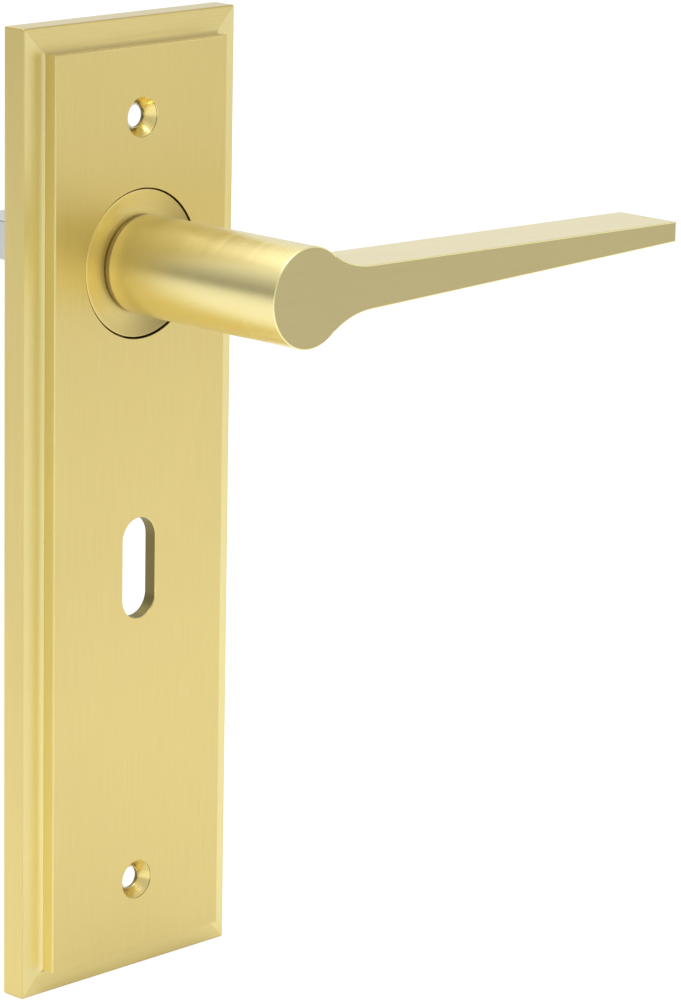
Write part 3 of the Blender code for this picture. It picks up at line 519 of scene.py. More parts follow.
def brushed_grain():
    """Fine straight lines.  Stretch says how often they change along each axis."""
    group, t, start, end = make_group("BrushedGrain", GRAIN_INPUTS, GRAIN_OUTPUTS)
    draw_lines(t, start["Vector"], start, end)
    return group


def turned_grain():
    """Fine lines of a surface turned about the spindle.  Stretch counts out, off the door and round."""
    group, t, start, end = make_group("TurnedGrain", GRAIN_INPUTS, GRAIN_OUTPUTS)
    across, off, up = t.node("ShaderNodeSeparateXYZ", Vector=start["Vector"]).outputs
    squares = t.math("ADD", t.math("MULTIPLY", across, across), t.math("MULTIPLY", up, up))
    way_round = t.math("MULTIPLY", t.math("ARCTAN2", up, across), 0.01)
    wrapped = t.node("ShaderNodeCombineXYZ", X=t.math("SQRT", squares), Y=off, Z=way_round)
    draw_lines(t, wrapped.outputs[0], start, end)
    return group


def edge_wear():
    """Light rubbed edges: the narrow rounded faces of a piece, broken up by noise."""
    group, t, start, end = make_group("EdgeWear", [("Vector", "Vector", None)], [("Mask", "Float")])
    edges = t.node("ShaderNodeAttribute", {"attribute_name": "rubbed"}).outputs["Fac"]
    uneven = t.spread(t.noise(start["Vector"], 900.0), 0.3, 0.6, 0.35, 1.0)
    t.join(t.math("MULTIPLY", edges, uneven), end["Mask"])
    return group


def handling():
    """Slow unevenness of a handled surface: soft cloudy patches and a scatter of short fine scratches."""
    group, t, start, end = make_group(
        "Handling",
        [("Vector", "Vector", None), ("Patch Scale", "Float", 28.0)],
        [("Patches", "Float"), ("Scratches", "Float")],
    )
    patches = t.spread(t.noise(start["Vector"], start["Patch Scale"], 3.0, 0.5), 0.3, 0.7, 0.0, 1.0)
    twisted = t.stretch(start["Vector"], (700.0, 1500.0, 2600.0))
    scratches = t.spread(t.noise(twisted, 1.0, 2.0, 0.4), 0.68, 0.76, 0.0, 1.0)
    t.join(patches, end["Patches"])
    t.join(scratches, end["Scratches"])
    return group


def turned_painted_highlight():
    """Painted highlight and painted shade on a turned face: a bright side and a dull side by the angle round
    the spindle, unevenly spread.
    """
    group, t, start, end = make_group(
        "TurnedSectors", [("Vector", "Vector", None), ("Bright Side", "Float", 2.7)], [("Mask", "Float")],
    )
    parts = t.node("ShaderNodeSeparateXYZ", Vector=start["Vector"])
    turn = t.math("ARCTAN2", parts.outputs[2], parts.outputs[0])
    way_round = t.math("SUBTRACT", turn, start["Bright Side"])
    side = t.math("MULTIPLY_ADD", t.math("COSINE", way_round), 0.47, 0.48)
    ripple = t.math("MULTIPLY", t.math("COSINE", t.math("MULTIPLY", way_round, 4.0)), 0.05)
    t.join(t.math("ADD", side, ripple), end["Mask"])
    return group


def painted_light_down_plate():
    """Painted light: a slow drift of tone down the tall plate, a little darker at the top and lighter at the
    bottom.
    """
    group, t, start, end = make_group(
        "AgeingDownPlate",
        [("Vector", "Vector", None), ("Top", "Float", 0.93), ("Bottom", "Float", 1.1)],
        [("Tone", "Color")],
    )
    height = t.node("ShaderNodeSeparateXYZ", Vector=start["Vector"]).outputs[2]
    soft = t.math("MULTIPLY", t.math("SUBTRACT", t.noise(start["Vector"], 18.0, 2.0), 0.5), 0.02)
    tone = t.spread(t.math("ADD", height, soft), PLATE_Y[0], PLATE_Y[1], start["Bottom"], start["Top"])
    joined = t.node("ShaderNodeCombineColor", Red=tone, Green=tone, Blue=tone)
    t.join(joined.outputs[0], end["Tone"])
    return group


EFFECTS = {
    "BrushedGrain": brushed_grain,
    "TurnedGrain": turned_grain,
    "EdgeWear": edge_wear,
    "Handling": handling,
    "TurnedSectors": turned_painted_highlight,
    "AgeingDownPlate": painted_light_down_plate,
}
EFFECTS_MADE = {}


def effect(t, name, **inputs):
    """A shared node group in a material's tree.  The group is made the first time that it is asked for."""
    if name not in EFFECTS_MADE:
        EFFECTS_MADE[name] = EFFECTS[name]()
    node = t.tree.nodes.new("ShaderNodeGroup")
    node.node_tree = EFFECTS_MADE[name]
    for key, value in inputs.items():
        t.join(value, node.inputs[key.replace("_", " ")])
    return node.outputs


# ---------------------------------------------------------------- materials

def new_material(name):
    material = bpy.data.materials.new(name)
    material.use_nodes = True
    tree = Tree(material.node_tree)
    shader = material.node_tree.nodes["Principled BSDF"]
    place = tree.node("ShaderNodeTexCoord").outputs["Object"]
    return material, tree, shader, place


def shade(colour, factor):
    return tuple(min(1.0, part * factor) for part in colour)


SHEEN_GREY = 0.86
WEAR = 0.5


def metal(name, colour, stretch, roughness=0.34, grain=0.1, depth=0.000015, turned=False, other_stretch=None,
          patch=0.06, second=None, pale=0.3, sectors=False, aged=False):
    """A worked metal: drawn or turned lines, rubbed edges and slow unevenness of tone and roughness, with a
    painted sheen where a face is seen edge on.

    Faces marked grain_way take the other stretch, and faces marked second_tone take the second colour, which
    is painted light: a painted highlight on the plate's stepped edge and painted shade on the lever's front."""
    material, t, shader, place = new_material(name)
    lines, bands = effect(t, "TurnedGrain" if turned else "BrushedGrain", Vector=place, Stretch=stretch)
    if other_stretch:
        across = effect(t, "BrushedGrain", Vector=place, Stretch=other_stretch)
        turned_way = t.node("ShaderNodeAttribute", {"attribute_name": "grain_way"}).outputs["Fac"]
        lines = t.math("ADD", lines, t.math("MULTIPLY", turned_way, t.math("SUBTRACT", across[0], lines)))
        bands = t.math("ADD", bands, t.math("MULTIPLY", turned_way, t.math("SUBTRACT", across[1], bands)))
    patches, scratches = effect(t, "Handling", Vector=place)
    worn = effect(t, "EdgeWear", Vector=place)["Mask"]
    tone = t.spread(lines, 0.3, 0.7, 0.0, 1.0)
    ground = colour
    # Painted light: the second colour is painted highlight on the plate's stepped edge and painted shade on
    # the lever's front.
    if second:
        share = t.node("ShaderNodeAttribute", {"attribute_name": "second_tone"}).outputs["Fac"]
        ground = t.mix(share, colour, second)
    # Painted highlight and painted shade: the turned rose lighter on one side and darker on the other.
    if sectors:
        painted_bright_side = effect(t, "TurnedSectors", Vector=place)["Mask"]
        ground = t.mix(painted_bright_side, shade(colour, 0.42), shade(colour, 1.26))
    grey = t.mix(tone, (1.0 - grain,) * 3, (1.0 + grain,) * 3)
    base = t.mix(1.0, ground, grey, "MULTIPLY")
    # Painted light: the plate a little darker at the top and lighter at the bottom.
    if aged:
        base = t.mix(1.0, base, effect(t, "AgeingDownPlate", Vector=place)["Tone"], "MULTIPLY")
    # Painted sheen: the colour is drawn towards a pale grey where a face is seen edge on; pale sets how far.
    facing = t.node("ShaderNodeLayerWeight", Blend=0.5).outputs["Facing"]
    sheen = tuple(part + (SHEEN_GREY - part) * 0.9 for part in colour)
    base = t.mix(t.spread(facing, 0.62, 0.86, 0.0, pale), base, sheen)
    darker = t.mix(t.math("MULTIPLY", patches, patch * 2), (1.0, 1.0, 1.0), (0.86, 0.86, 0.86))
    base = t.mix(1.0, base, darker, "MULTIPLY")
    base = t.mix(t.math("MULTIPLY", worn, WEAR), base, shade(colour, 1.2))
    t.join(base, shader.inputs["Base Color"])
    rough = t.spread(bands, 0.3, 0.7, roughness - 0.05, roughness + 0.05)
    rough = t.math("ADD", rough, t.math("MULTIPLY", patches, 0.04))
    rough = t.math("SUBTRACT", rough, t.math("MULTIPLY", worn, 0.08), clamp=True)
    t.join(rough, shader.inputs["Roughness"])
    shader.inputs["Metallic"].default_value = 1.0
    height = t.math("SUBTRACT", lines, t.math("MULTIPLY", scratches, 0.1))
    bump = t.node("ShaderNodeBump", Strength=1.0, Distance=depth, Height=height)
    t.join(bump.outputs["Normal"], shader.inputs["Normal"])
    return material


def nylon(name, colour):
    """A moulded plastic with a fine grained skin."""
    material, t, shader, place = new_material(name)
    skin = t.noise(place, 6000.0, 3.0)
    patches, scratches = effect(t, "Handling", Vector=place)
    base = t.mix(patches, colour, shade(colour, 1.5))
    t.join(base, shader.inputs["Base Color"])
    t.join(t.spread(skin, 0.3, 0.7, 0.48, 0.66), shader.inputs["Roughness"])
    bump = t.node("ShaderNodeBump", Strength=0.5, Distance=0.00003, Height=skin)
    t.join(bump.outputs["Normal"], shader.inputs["Normal"])
    return material


UPRIGHT, LEVEL, OFF_DOOR = (4200.0, 4200.0, 90.0), (90.0, 4200.0, 4200.0), (4200.0, 90.0, 4200.0)
RINGS = (9000.0, 9000.0, 160.0)
CAST = (1600.0, 1600.0, 1600.0)
OILED = (2500.0, 2500.0, 2500.0)
STRIP = (300.0, 3500.0, 300.0)
COUNTERSUNK = (1800.0, 600.0, 1800.0)


def metal_recipes(colours):
    """Each metal finish: its colour, how its lines run, its roughness, its grain, and what else it has."""
    brass, shank, front_shade, moulding_highlight = (
        tuple(part) for part in (colours.brass, colours.shank, colours.front_shade, colours.moulding_highlight)
    )
    zinc, steel, strip, black, bronze = (
        tuple(part) for part in (
            colours.zinc, colours.steel, colours.spring_steel, colours.black_steel, colours.bronze
        )
    )
    return {
        # The plate's second colour is the stepped edge's painted highlight.
        "plate_brass": (
            shade(brass, 0.92), UPRIGHT, 0.36, 0.035,
            {"depth": 0.000012, "other_stretch": LEVEL, "second": moulding_highlight, "aged": True},
        ),
        # The lever's second colour is the painted shade of its front.
        "lever_brass": (
            shank, RINGS, 0.31, 0.03,
            {"depth": 0.000009, "turned": True, "other_stretch": LEVEL, "second": front_shade},
        ),
        # The cut walls are rougher, and their dark colour and weaker sheen are painted shade inside the
        # holes.
        "cut_brass": (shade(brass, 0.32), OFF_DOOR, 0.5, 0.08, {"pale": 0.1}),
        # The rose's bright and dull sides are painted highlight and painted shade.
        "rose_brass": (
            shade(brass, 0.95), RINGS, 0.34, 0.07, {"depth": 0.00003, "turned": True, "sectors": True},
        ),
        "polished_brass": (shade(brass, 1.15), COUNTERSUNK, 0.24, 0.04, {"depth": 0.000003, "patch": 0.02}),
        # The collar's dark colour is painted shade.
        "aged_bronze": (bronze, RINGS, 0.45, 0.1, {"turned": True}),
        "zinc_plating": (zinc, CAST, 0.42, 0.08, {"patch": 0.2}),
        "bright_steel": (steel, OFF_DOOR, 0.3, 0.06, {}),
        "blued_spring_steel": (strip, STRIP, 0.32, 0.1, {}),
        "oiled_black_steel": (black, OILED, 0.42, 0.15, {}),
    }


FINISHES_MADE = {}


def finish(name):
    """One of the lockset's finishes, made the first time that a piece asks for it."""
    if name not in FINISHES_MADE:
        colours = bpy.context.scene.lockset_finishes
        if name == "black_nylon":
            FINISHES_MADE[name] = nylon(name, tuple(colours.nylon))
        else:
            colour_made, stretch, roughness, grain, settings = metal_recipes(colours)[name]
            FINISHES_MADE[name] = metal(name, colour_made, stretch, roughness, grain, **settings)
    return FINISHES_MADE[name]


# ---------------------------------------------------------------- backplate

def step_in(inwards, upwards):
    bpy.ops.mesh.inset(thickness=max(inwards, 1e-7), depth=upwards, use_even_offset=True)


def stepped_plate(sizes):
    """The plate's outside: border, cove, riser and raised field, with its edges rounded."""
    plate = add_block("brass_backplate", PLATE_X, PLATE_Y, (0.0, sizes.border_height))
    field = PLATE_Z[1]
    edit(plate)
    bpy.ops.mesh.select_all(action="SELECT")
    bpy.ops.mesh.bevel(offset=sizes.outer_edge, segments=3, affect="EDGES")
    pick(plate, "faces", lambda face: face.normal.z > FACING)
    step_in(sizes.border_flat - sizes.outer_edge, 0.0)
    rise = 0.0
    for step in range(COVE_STEPS):
        before, after = (COVE_SWEEP * part / COVE_STEPS for part in (step, step + 1))
        up = sizes.cove_radius * (math.cos(before) - math.cos(after))
        step_in(sizes.cove_radius * (math.sin(after) - math.sin(before)), up)
        rise += up
    riser = field - sizes.field_edge - sizes.border_height - rise
    bpy.ops.mesh.extrude_region_move(TRANSFORM_OT_translate={"value": (0, 0, riser)})
    for inwards, up in quarter(sizes.field_edge, ROUNDING_STEPS):
        step_in(inwards, up)
    leave()
    return plate


def soft_block(name, x, y, z, corner, segments=10):
    """A block whose upright corners, along Z, are rounded."""
    block = add_block(name, x, y, z)
    edit(block)
    pick(block, "edges", lambda edge: abs(edge_way(edge).z) > ALONG)
    bpy.ops.mesh.bevel(offset=corner, segments=segments, affect="EDGES", clamp_overlap=False)
    bpy.ops.mesh.select_all(action="SELECT")
    bpy.ops.mesh.remove_doubles(threshold=1e-7)
    leave()
    return block


def flare(cutter, height, centre, half_width, half_length, rim):
    """Widens a cutter's top above a height in small steps, so that it leaves a rounded rim."""
    edit(cutter)
    pick(cutter, "faces", lambda face: face.normal.z > FACING)
    now = height - rim
    wide, tall = half_width, half_length
    for step in range(3):
        before, after = (math.pi / 2 * part / 3 for part in (step, step + 1))
        up = rim * (math.sin(after) - math.sin(before))
        out = rim * (math.cos(before) - math.cos(after))
        bpy.ops.mesh.extrude_region_move(TRANSFORM_OT_translate={"value": (0, 0, up)})
        now += up
        scale = ((wide + out) / wide, (tall + out) / tall, 1.0)
        bpy.ops.transform.resize(value=scale, center_override=(centre[0], centre[1], now))
        wide, tall = wide + out, tall + out
    bpy.ops.mesh.extrude_region_move(TRANSFORM_OT_translate={"value": (0, 0, PAST)})
    leave()


def keyhole_cutter(sizes):
    half_width, half_length = sizes.keyhole_width / 2, sizes.keyhole_length / 2
    middle = -sizes.keyhole_below
    rim = sizes.keyhole_rim
    field = PLATE_Z[1]
    cutter = soft_block(
        "keyhole", (-half_width, half_width), (middle - half_length, middle + half_length),
        (sizes.hollow_depth - PAST, field - rim), half_width - 1e-6, 20,
    )
    flare(cutter, field, (0.0, middle), half_width, half_length, rim)
    return cutter


def round_cutter(name, radius, back, front, rim):
    """A round hole's cutter with a rounded rim at the front."""
    profile = [(radius, back), (radius, front - rim)]
    now = [radius, front - rim]
    for out, up in quarter(rim, 3):
        now = [now[0] + out, now[1] + up]
        profile.append(tuple(now))
    profile.append((now[0], front + PAST))
    return turned(name, profile)


def fixing_cutter(sizes, height):
    """A countersunk hole with a short upright rim."""
    field, hole, sink, edge = PLATE_Z[1], sizes.fixing_radius, sizes.sink_radius, sizes.sink_edge
    rim = field - sizes.sink_rim
    cone_end = rim - (sink - hole)
    profile = [
        (hole, sizes.hollow_depth - PAST),
        (hole, cone_end - 1.5 * edge),
        (hole + edge, cone_end + 1.25 * edge),
        (sink - 0.75 * edge, rim - edge),
        (sink, rim),
        (sink, field - edge),
        (sink + edge, field),
        (sink + edge, field + PAST),
    ]
    cutter = turned("fixing_hole", profile, steps=96)
    return settle(cutter, Matrix.Translation((0.0, height, 0.0)))


def add_bosses(plate, root):
    """Four short pillars in the hollow that the cover's screws go into."""
    sizes = bpy.context.scene.lockset_inner
    back, radius, hole = CAM_Z[0], sizes.boss_radius, sizes.boss_hole
    profile = [(hole, back), (radius, back), (radius, root), (hole, root)]
    boss = turned("boss", profile, closed=True, steps=SMALL_ROUND)
    for number, place in enumerate(screw_places(), 1):
        combine(plate, copy_of(boss, f"boss_{number}", place), "UNION")
    bpy.data.objects.remove(boss, do_unlink=True)


def mark_plate(plate, sizes):
    """Marks level grain and the stepped edge's painted highlight, and gives cut walls and countersinks their
    finish; the cut walls' dark colour is painted shade.
    """
    middle = (PLATE_Y[0] + PLATE_Y[1]) / 2
    half_height = (PLATE_Y[1] - PLATE_Y[0]) / 2
    way, tone = add_marks(plate, "grain_way", "second_tone")
    for face in plate.data.polygons:
        from_side = PLATE_X[1] - abs(face.center.x)
        from_end = half_height - abs(face.center.z - middle)
        level_border = from_end < from_side and from_end < MOULDING_WIDTH
        way[face.index].value = 1.0 if level_border else 0.0
        moulded = SLACK < min(from_side, from_end) < MOULDING_WIDTH - SLACK
        stepped = -face.center.y > sizes.border_height - SLACK / 10
        # Painted highlight: faces of the stepped edge take a share of the brighter brass, less on the top
        # and the bottom than on the sides.
        share = HIGHLIGHT_ON_SIDES
        if level_border:
            share = HIGHLIGHT_ON_TOP if face.center.z > middle else HIGHLIGHT_ON_BOTTOM
        tone[face.index].value = share if moulded and stepped else 0.0
        outside = abs(face.center.x) > sizes.seat_radius + MM
        if outside or -face.center.y < sizes.hollow_depth + SLACK / 2:
            continue
        upright = abs(face.normal.y) < 0.2
        from_fixing = min(
            math.hypot(face.center.x, face.center.z - height)
            for height in (sizes.top_fixing, -sizes.bottom_fixing)
        )
        if from_fixing < sizes.sink_radius + SLACK / 2 and not upright:
            face.material_index = 1
        elif upright and from_end > sizes.hollow_inset + 0.9 * MM:
            # the walls inside the holes take their painted shade
            face.material_index = 2


class LOCKSET_OT_backplate(bpy.types.Operator):
    """Build the stepped brass backplate"""

    bl_idname = "lockset.backplate"
    bl_label = "Backplate"

    def execute(self, context):
        sizes = context.scene.lockset_plate
        plate = stepped_plate(sizes)
        inset = sizes.hollow_inset
        hollow = soft_block(
            "hollow", (PLATE_X[0] + inset, PLATE_X[1] - inset), (PLATE_Y[0] + inset, PLATE_Y[1] - inset),
            (-PAST, sizes.hollow_depth), sizes.hollow_corner,
        )
        combine(plate, hollow, "DIFFERENCE")
        add_bosses(plate, sizes.hollow_depth + OVERLAP)
        seat = round_cutter(
            "seat", sizes.seat_radius, sizes.hollow_depth - PAST, PLATE_Z[1], sizes.seat_rim
        )
        settle(seat, Matrix.Translation(SEAT_SHIFT))
        combine(plate, seat, "DIFFERENCE")
        combine(plate, keyhole_cutter(sizes), "DIFFERENCE")
        for height in (sizes.top_fixing, -sizes.bottom_fixing):
            combine(plate, fixing_cutter(sizes, height), "DIFFERENCE")
        brass = [finish(name) for name in ("plate_brass", "polished_brass", "cut_brass")]
        present(plate, "plate", "backplate", "satin_brass", *brass)
        mark_plate(plate, sizes)
        return {"FINISHED"}


# ---------------------------------------------------------------- rose and collar

class LOCKSET_OT_rose(bpy.types.Operator):
    """Build the dished brass rose that the handle turns in"""

    bl_idname = "lockset.rose"
    bl_label = "Rose"

    def execute(self, context):
        sizes = context.scene.lockset_rose
        back, front = ROSE_Z
        flange, edge = ROSE_X[1], sizes.edge
        now = [sizes.radius, front - edge]
        shoulder = sizes.flange_front
        profile = [(flange, back), (flange, shoulder), (sizes.radius, shoulder), tuple(now)]
        for inwards, up in quarter(edge, ROUNDING_STEPS):
            now = [now[0] - inwards, now[1] + up]
            profile.append(tuple(now))
        outer = now[0]
        for step in range(1, DISH_STEPS + 1):
            part = step / DISH_STEPS
            sag = sizes.dish * math.sin(math.pi * part)
            profile.append((outer + (sizes.inner - outer) * part, front - sag))
        profile += [(sizes.bore, front), (sizes.bore, back)]
        rose = turned("brass_rose", profile, closed=True)
        present(rose, "plate", "bearing_rose", "satin_brass", finish("rose_brass"))
        return {"FINISHED"}


class LOCKSET_OT_collar(bpy.types.Operator):
    """Build the collar between the rose and the shank, painted dark as the shade in the gap round the shank
    """

    bl_idname = "lockset.collar"
    bl_label = "Collar"

    def execute(self, context):
        sizes = context.scene.lockset_rose
        radius, bore, edge = COLLAR_X[1], sizes.collar_bore, sizes.collar_edge
        back, front = COLLAR_Z
        profile = [
            (bore, back), (radius - edge, back), (radius, back + edge),
            (radius, front - edge), (radius - edge, front), (bore, front),
        ]
        collar = turned("bronze_collar", profile, closed=True)
        # The collar is painted dark as the shade in the gap round the shank.
        present(collar, "plate", "shank_collar", "collar_bronze", finish("aged_bronze"))
        return {"FINISHED"}


# ---------------------------------------------------------------- lever, spindle and grub screw

def blade_half_height(x, sizes):
    """Half the blade's height at a distance from the spindle: blends, straight taper, rounded tip."""
    reach = LEVER_X[1]
    slope = (sizes.blade_root - sizes.blade_tip) / 2 / reach
    straight = sizes.blade_root / 2 - slope * x
    lean = math.atan(slope)
    orbit = sizes.shank_radius + sizes.blend_radius
    offset = (sizes.blade_root / 2 + sizes.blend_radius / math.cos(lean)) * math.cos(lean)
    angle = math.asin(offset / orbit) - lean
    centre_x, centre_y = orbit * math.cos(angle), orbit * math.sin(angle)
    if x < centre_x - sizes.blend_radius * math.sin(lean):
        start = centre_x - sizes.blend_radius * math.cos(angle)
        within = max(x, start)
        return centre_y - math.sqrt(max(sizes.blend_radius ** 2 - (within - centre_x) ** 2, 0.0))
    corner = sizes.tip_round
    if x > reach - corner:
        into = x - (reach - corner)
        return straight - corner + math.sqrt(max(corner ** 2 - into ** 2, 0.0))
    return straight


def blade_places(sizes):
    """Where the blade's outline changes direction, from the shank to the tip."""
    reach, corner = LEVER_X[1], sizes.tip_round
    tip = [reach - corner + corner * math.sin(math.pi / 2 * step / TIP_CUTS) for step in range(TIP_CUTS)]
    return BLEND_CUTS + TAPER_CUTS + tip


def blade_block(sizes):
    """The blade: a block cut into slices, each drawn to the outline's height there."""
    reach = LEVER_X[1]
    back, front = LEVER_Z[1] - sizes.blade_depth, LEVER_Z[1]
    blade = add_block("blade", (BLADE_ROOT, reach), (-MM, MM), (back, front))
    edit(blade)
    pick(blade, "edges", lambda edge: abs(edge_way(edge).y) > ALONG and near(edge_middle(edge).x, reach))
    bpy.ops.mesh.bevel(offset=sizes.tip_round, segments=6, affect="EDGES")
    for x in blade_places(sizes):
        bpy.ops.mesh.select_all(action="SELECT")
        bpy.ops.mesh.bisect(plane_co=(x, 0.0, 0.0), plane_no=(1.0, 0.0, 0.0))
    levels = sorted({round(vertex.co.x, 7) for vertex in bmesh.from_edit_mesh(blade.data).verts})
    for x in levels:
        pick(blade, "verts", lambda vertex: near(vertex.co.x, x, 1e-6))
        scale = blade_half_height(x, sizes) / MM
        bpy.ops.transform.resize(value=(1.0, scale, 1.0), center_override=(x, 0.0, 0.0))
    leave()
    return blade


def is_front_outline(edge):
    """True for an edge round the front of the lever."""
    if len(edge.link_faces) != 2:
        return False
    level = [abs(face.normal.z) > FACING for face in edge.link_faces]
    upright = [abs(face.normal.z) < 0.3 for face in edge.link_faces]
    at = any(near(vertex.co.z, LEVER_Z[1], 2e-5) for vertex in edge.verts)
    return any(level) and any(upright) and at


def shank(sizes):
    """The round shank and its neck, with the circlip's groove."""
    radius, front = sizes.shank_radius, LEVER_Z[1]
    neck, groove, edge = sizes.neck_radius, sizes.groove_radius, sizes.shank_edge
    shoulder = COLLAR_Z[1] + sizes.shoulder_gap
    groove_back, groove_front = CLIP_Z[0] - sizes.groove_gap, CLIP_Z[1] + sizes.groove_gap
    profile = [
        (neck - edge, LEVER_Z[0]), (neck, LEVER_Z[0] + edge), (neck, groove_back),
        (groove, groove_back), (groove, groove_front), (neck, groove_front),
        (neck, shoulder), (radius - edge, shoulder), (radius - edge / 4, shoulder + edge / 4),
        (radius, shoulder + edge), (radius, front),
    ]
    return turned("brass_lever", profile, steps=ROUND)


class LOCKSET_OT_lever(bpy.types.Operator):
    """Build the shank and blade of the lever"""

    bl_idname = "lockset.lever"
    bl_label = "Lever"

    def execute(self, context):
        sizes = context.scene.lockset_lever
        lever = shank(sizes)
        combine(lever, blade_block(sizes), "UNION")
        merge_flat(lever)
        edit(lever)
        pick(lever, "edges", is_front_outline)
        bpy.ops.mesh.bevel(offset=sizes.edge, segments=3, affect="EDGES")
        leave()
        half = SPINDLE_X[1] + sizes.socket_gap
        socket_end = SPINDLE_Z[1] + 2 * sizes.socket_gap
        behind = LEVER_Z[0] - PAST
        socket = add_block("socket", (-half, half), (-half, half), (behind, socket_end))
        combine(lever, socket, "DIFFERENCE")
        neck = sizes.neck_radius
        for side in (-1, 1):
            sides = sorted((side * sizes.flat_half, side * (neck + PAST)))
            cutter = add_block("flat", sides, (-neck, neck), (behind, sizes.flat_front))
            combine(lever, cutter, "DIFFERENCE")
        rim = sizes.shank_radius + 0.05 * MM
        hole = round_cutter("grub_hole", sizes.screw_hole, half / 2, rim, sizes.screw_rim)
        settle(hole, under_shank())
        combine(lever, hole, "DIFFERENCE")
        present(lever, "handle", "lever_handle", "satin_brass", finish("lever_brass"))
        mark_lever(lever, sizes)
        return {"FINISHED"}


def mark_lever(lever, sizes):
    """Marks the blade, whose lines run along it, and the front, whose darker colour is painted shade."""
    way, tone = add_marks(lever, "grain_way", "second_tone")
    for face in lever.data.polygons:
        front = face.normal.y < -0.99
        beyond = face.center.x > sizes.shank_radius * 0.95
        way[face.index].value = 1.0 if front or beyond else 0.0
        # painted shade on the front faces
        tone[face.index].value = 1.0 if front else 0.0


def under_shank():
    """Turns a piece drawn along Z so that it points down out of the shank's underside."""
    height = (GRUB_Z[0] + GRUB_Z[1]) / 2
    return Matrix.Translation((0.0, 0.0, height)) @ Matrix.Rotation(math.radians(90.0), 4, "X")


class LOCKSET_OT_spindle(bpy.types.Operator):
    """Build the square spindle"""

    bl_idname = "lockset.spindle"
    bl_label = "Spindle"

    def execute(self, context):
        sizes = context.scene.lockset_inner
        bar = add_block("steel_spindle", SPINDLE_X, SPINDLE_Y, SPINDLE_Z)
        edit(bar)
        pick(bar, "edges", lambda edge: abs(edge_way(edge).z) > ALONG)
        bpy.ops.mesh.bevel(offset=sizes.spindle_corner, segments=4, affect="EDGES")
        pick(bar, "edges", lambda edge: near(edge.verts[0].co.z, edge.verts[1].co.z))
        bpy.ops.mesh.bevel(offset=sizes.spindle_end, segments=1, affect="EDGES")
        leave()
        present(bar, "handle", "spindle", "bright_steel", finish("bright_steel"))
        return {"FINISHED"}


class LOCKSET_OT_grub_screw(bpy.types.Operator):
    """Build the grub screw that holds the lever to the spindle"""

    bl_idname = "lockset.grub_screw"
    bl_label = "Grub screw"

    def execute(self, context):
        sizes = context.scene.lockset_inner
        top, radius = -GRUB_Y[0], GRUB_X[1]
        tip = SPINDLE_X[1] + context.scene.lockset_lever.socket_gap
        profile = [
            (radius - sizes.grub_point, tip), (radius, tip + sizes.grub_point),
            (radius, top - sizes.grub_chamfer), (radius - sizes.grub_chamfer, top),
        ]
        screw = turned("set_screw", profile, steps=SMALL_ROUND)
        key = add(
            "key", bpy.ops.mesh.primitive_cylinder_add, vertices=6, radius=sizes.key_radius,
            depth=2 * sizes.key_depth, location=(0.0, 0.0, top),
        )
        combine(screw, key, "DIFFERENCE")
        settle(screw, under_shank())
        present(screw, "handle", "grub_screw", "black_steel", finish("oiled_black_steel"))
        return {"FINISHED"}


# ---------------------------------------------------------------- cover, screws and circlip

class LOCKSET_OT_cover(bpy.types.Operator):
    """Build the cover plate over the spring housing"""

    bl_idname = "lockset.cover"
    bl_label = "Cover"

    def execute(self, context):
        sizes = context.scene.lockset_inner
        cover = soft_block("zinc_cover", COVER_X, COVER_Y, COVER_Z, sizes.cover_corner)
        edit(cover)
        pick(cover, "edges", lambda edge: near(edge.verts[0].co.z, edge.verts[1].co.z))
        bpy.ops.mesh.bevel(offset=sizes.cover_edge, segments=2, affect="EDGES")
        leave()
        back, front = COVER_Z[0] - PAST, COVER_Z[1] + PAST
        combine(cover, turned("hole", [(sizes.cover_hole, back), (sizes.cover_hole, front)]), "DIFFERENCE")
        hole = turned("hole", [(sizes.screw_clearance, back), (sizes.screw_clearance, front)], steps=32)
        for number, place in enumerate(screw_places(), 1):
            combine(cover, copy_of(hole, f"hole_{number}", place), "DIFFERENCE")
        bpy.data.objects.remove(hole, do_unlink=True)
        present(cover, "plate", "cover_plate", "plated_zinc", finish("zinc_plating"))
        return {"FINISHED"}


class LOCKSET_OT_cover_screws(bpy.types.Operator):
    """Build the four slotted screws that hold the cover"""

    bl_idname = "lockset.cover_screws"
    bl_label = "Cover screws"

    def execute(self, context):
        sizes = context.scene.lockset_inner
        back, tip = SCREW_Z
        head, radius = back + sizes.screw_head, sizes.screw_radius
        head_radius = (SCREW_X[1] - SCREW_X[0]) / 2
        profile = [
            (head_radius - 0.22 * MM, back), (head_radius - 0.08 * MM, back + 0.05 * MM),
            (head_radius, back + 0.18 * MM), (head_radius, head), (radius, head),
            (radius, tip - sizes.screw_point), (radius - sizes.screw_point, tip),
        ]
        screw = turned("screw", profile, steps=SMALL_ROUND)
        half = sizes.slot_width / 2
        across = head_radius + PAST
        slot = add_block("slot", (-half, half), (-across, across), (back - PAST, back + sizes.slot_depth))
        combine(screw, slot, "DIFFERENCE")
        for number, place in enumerate(screw_places(), 1):
            twin = copy_of(screw, f"slotted_screw_{number}", place, sizes.slot_turn * number)
            present(twin, "plate", f"cover_screw_{number}", "bright_steel", finish("bright_steel"))
        bpy.data.objects.remove(screw, do_unlink=True)
        return {"FINISHED"}


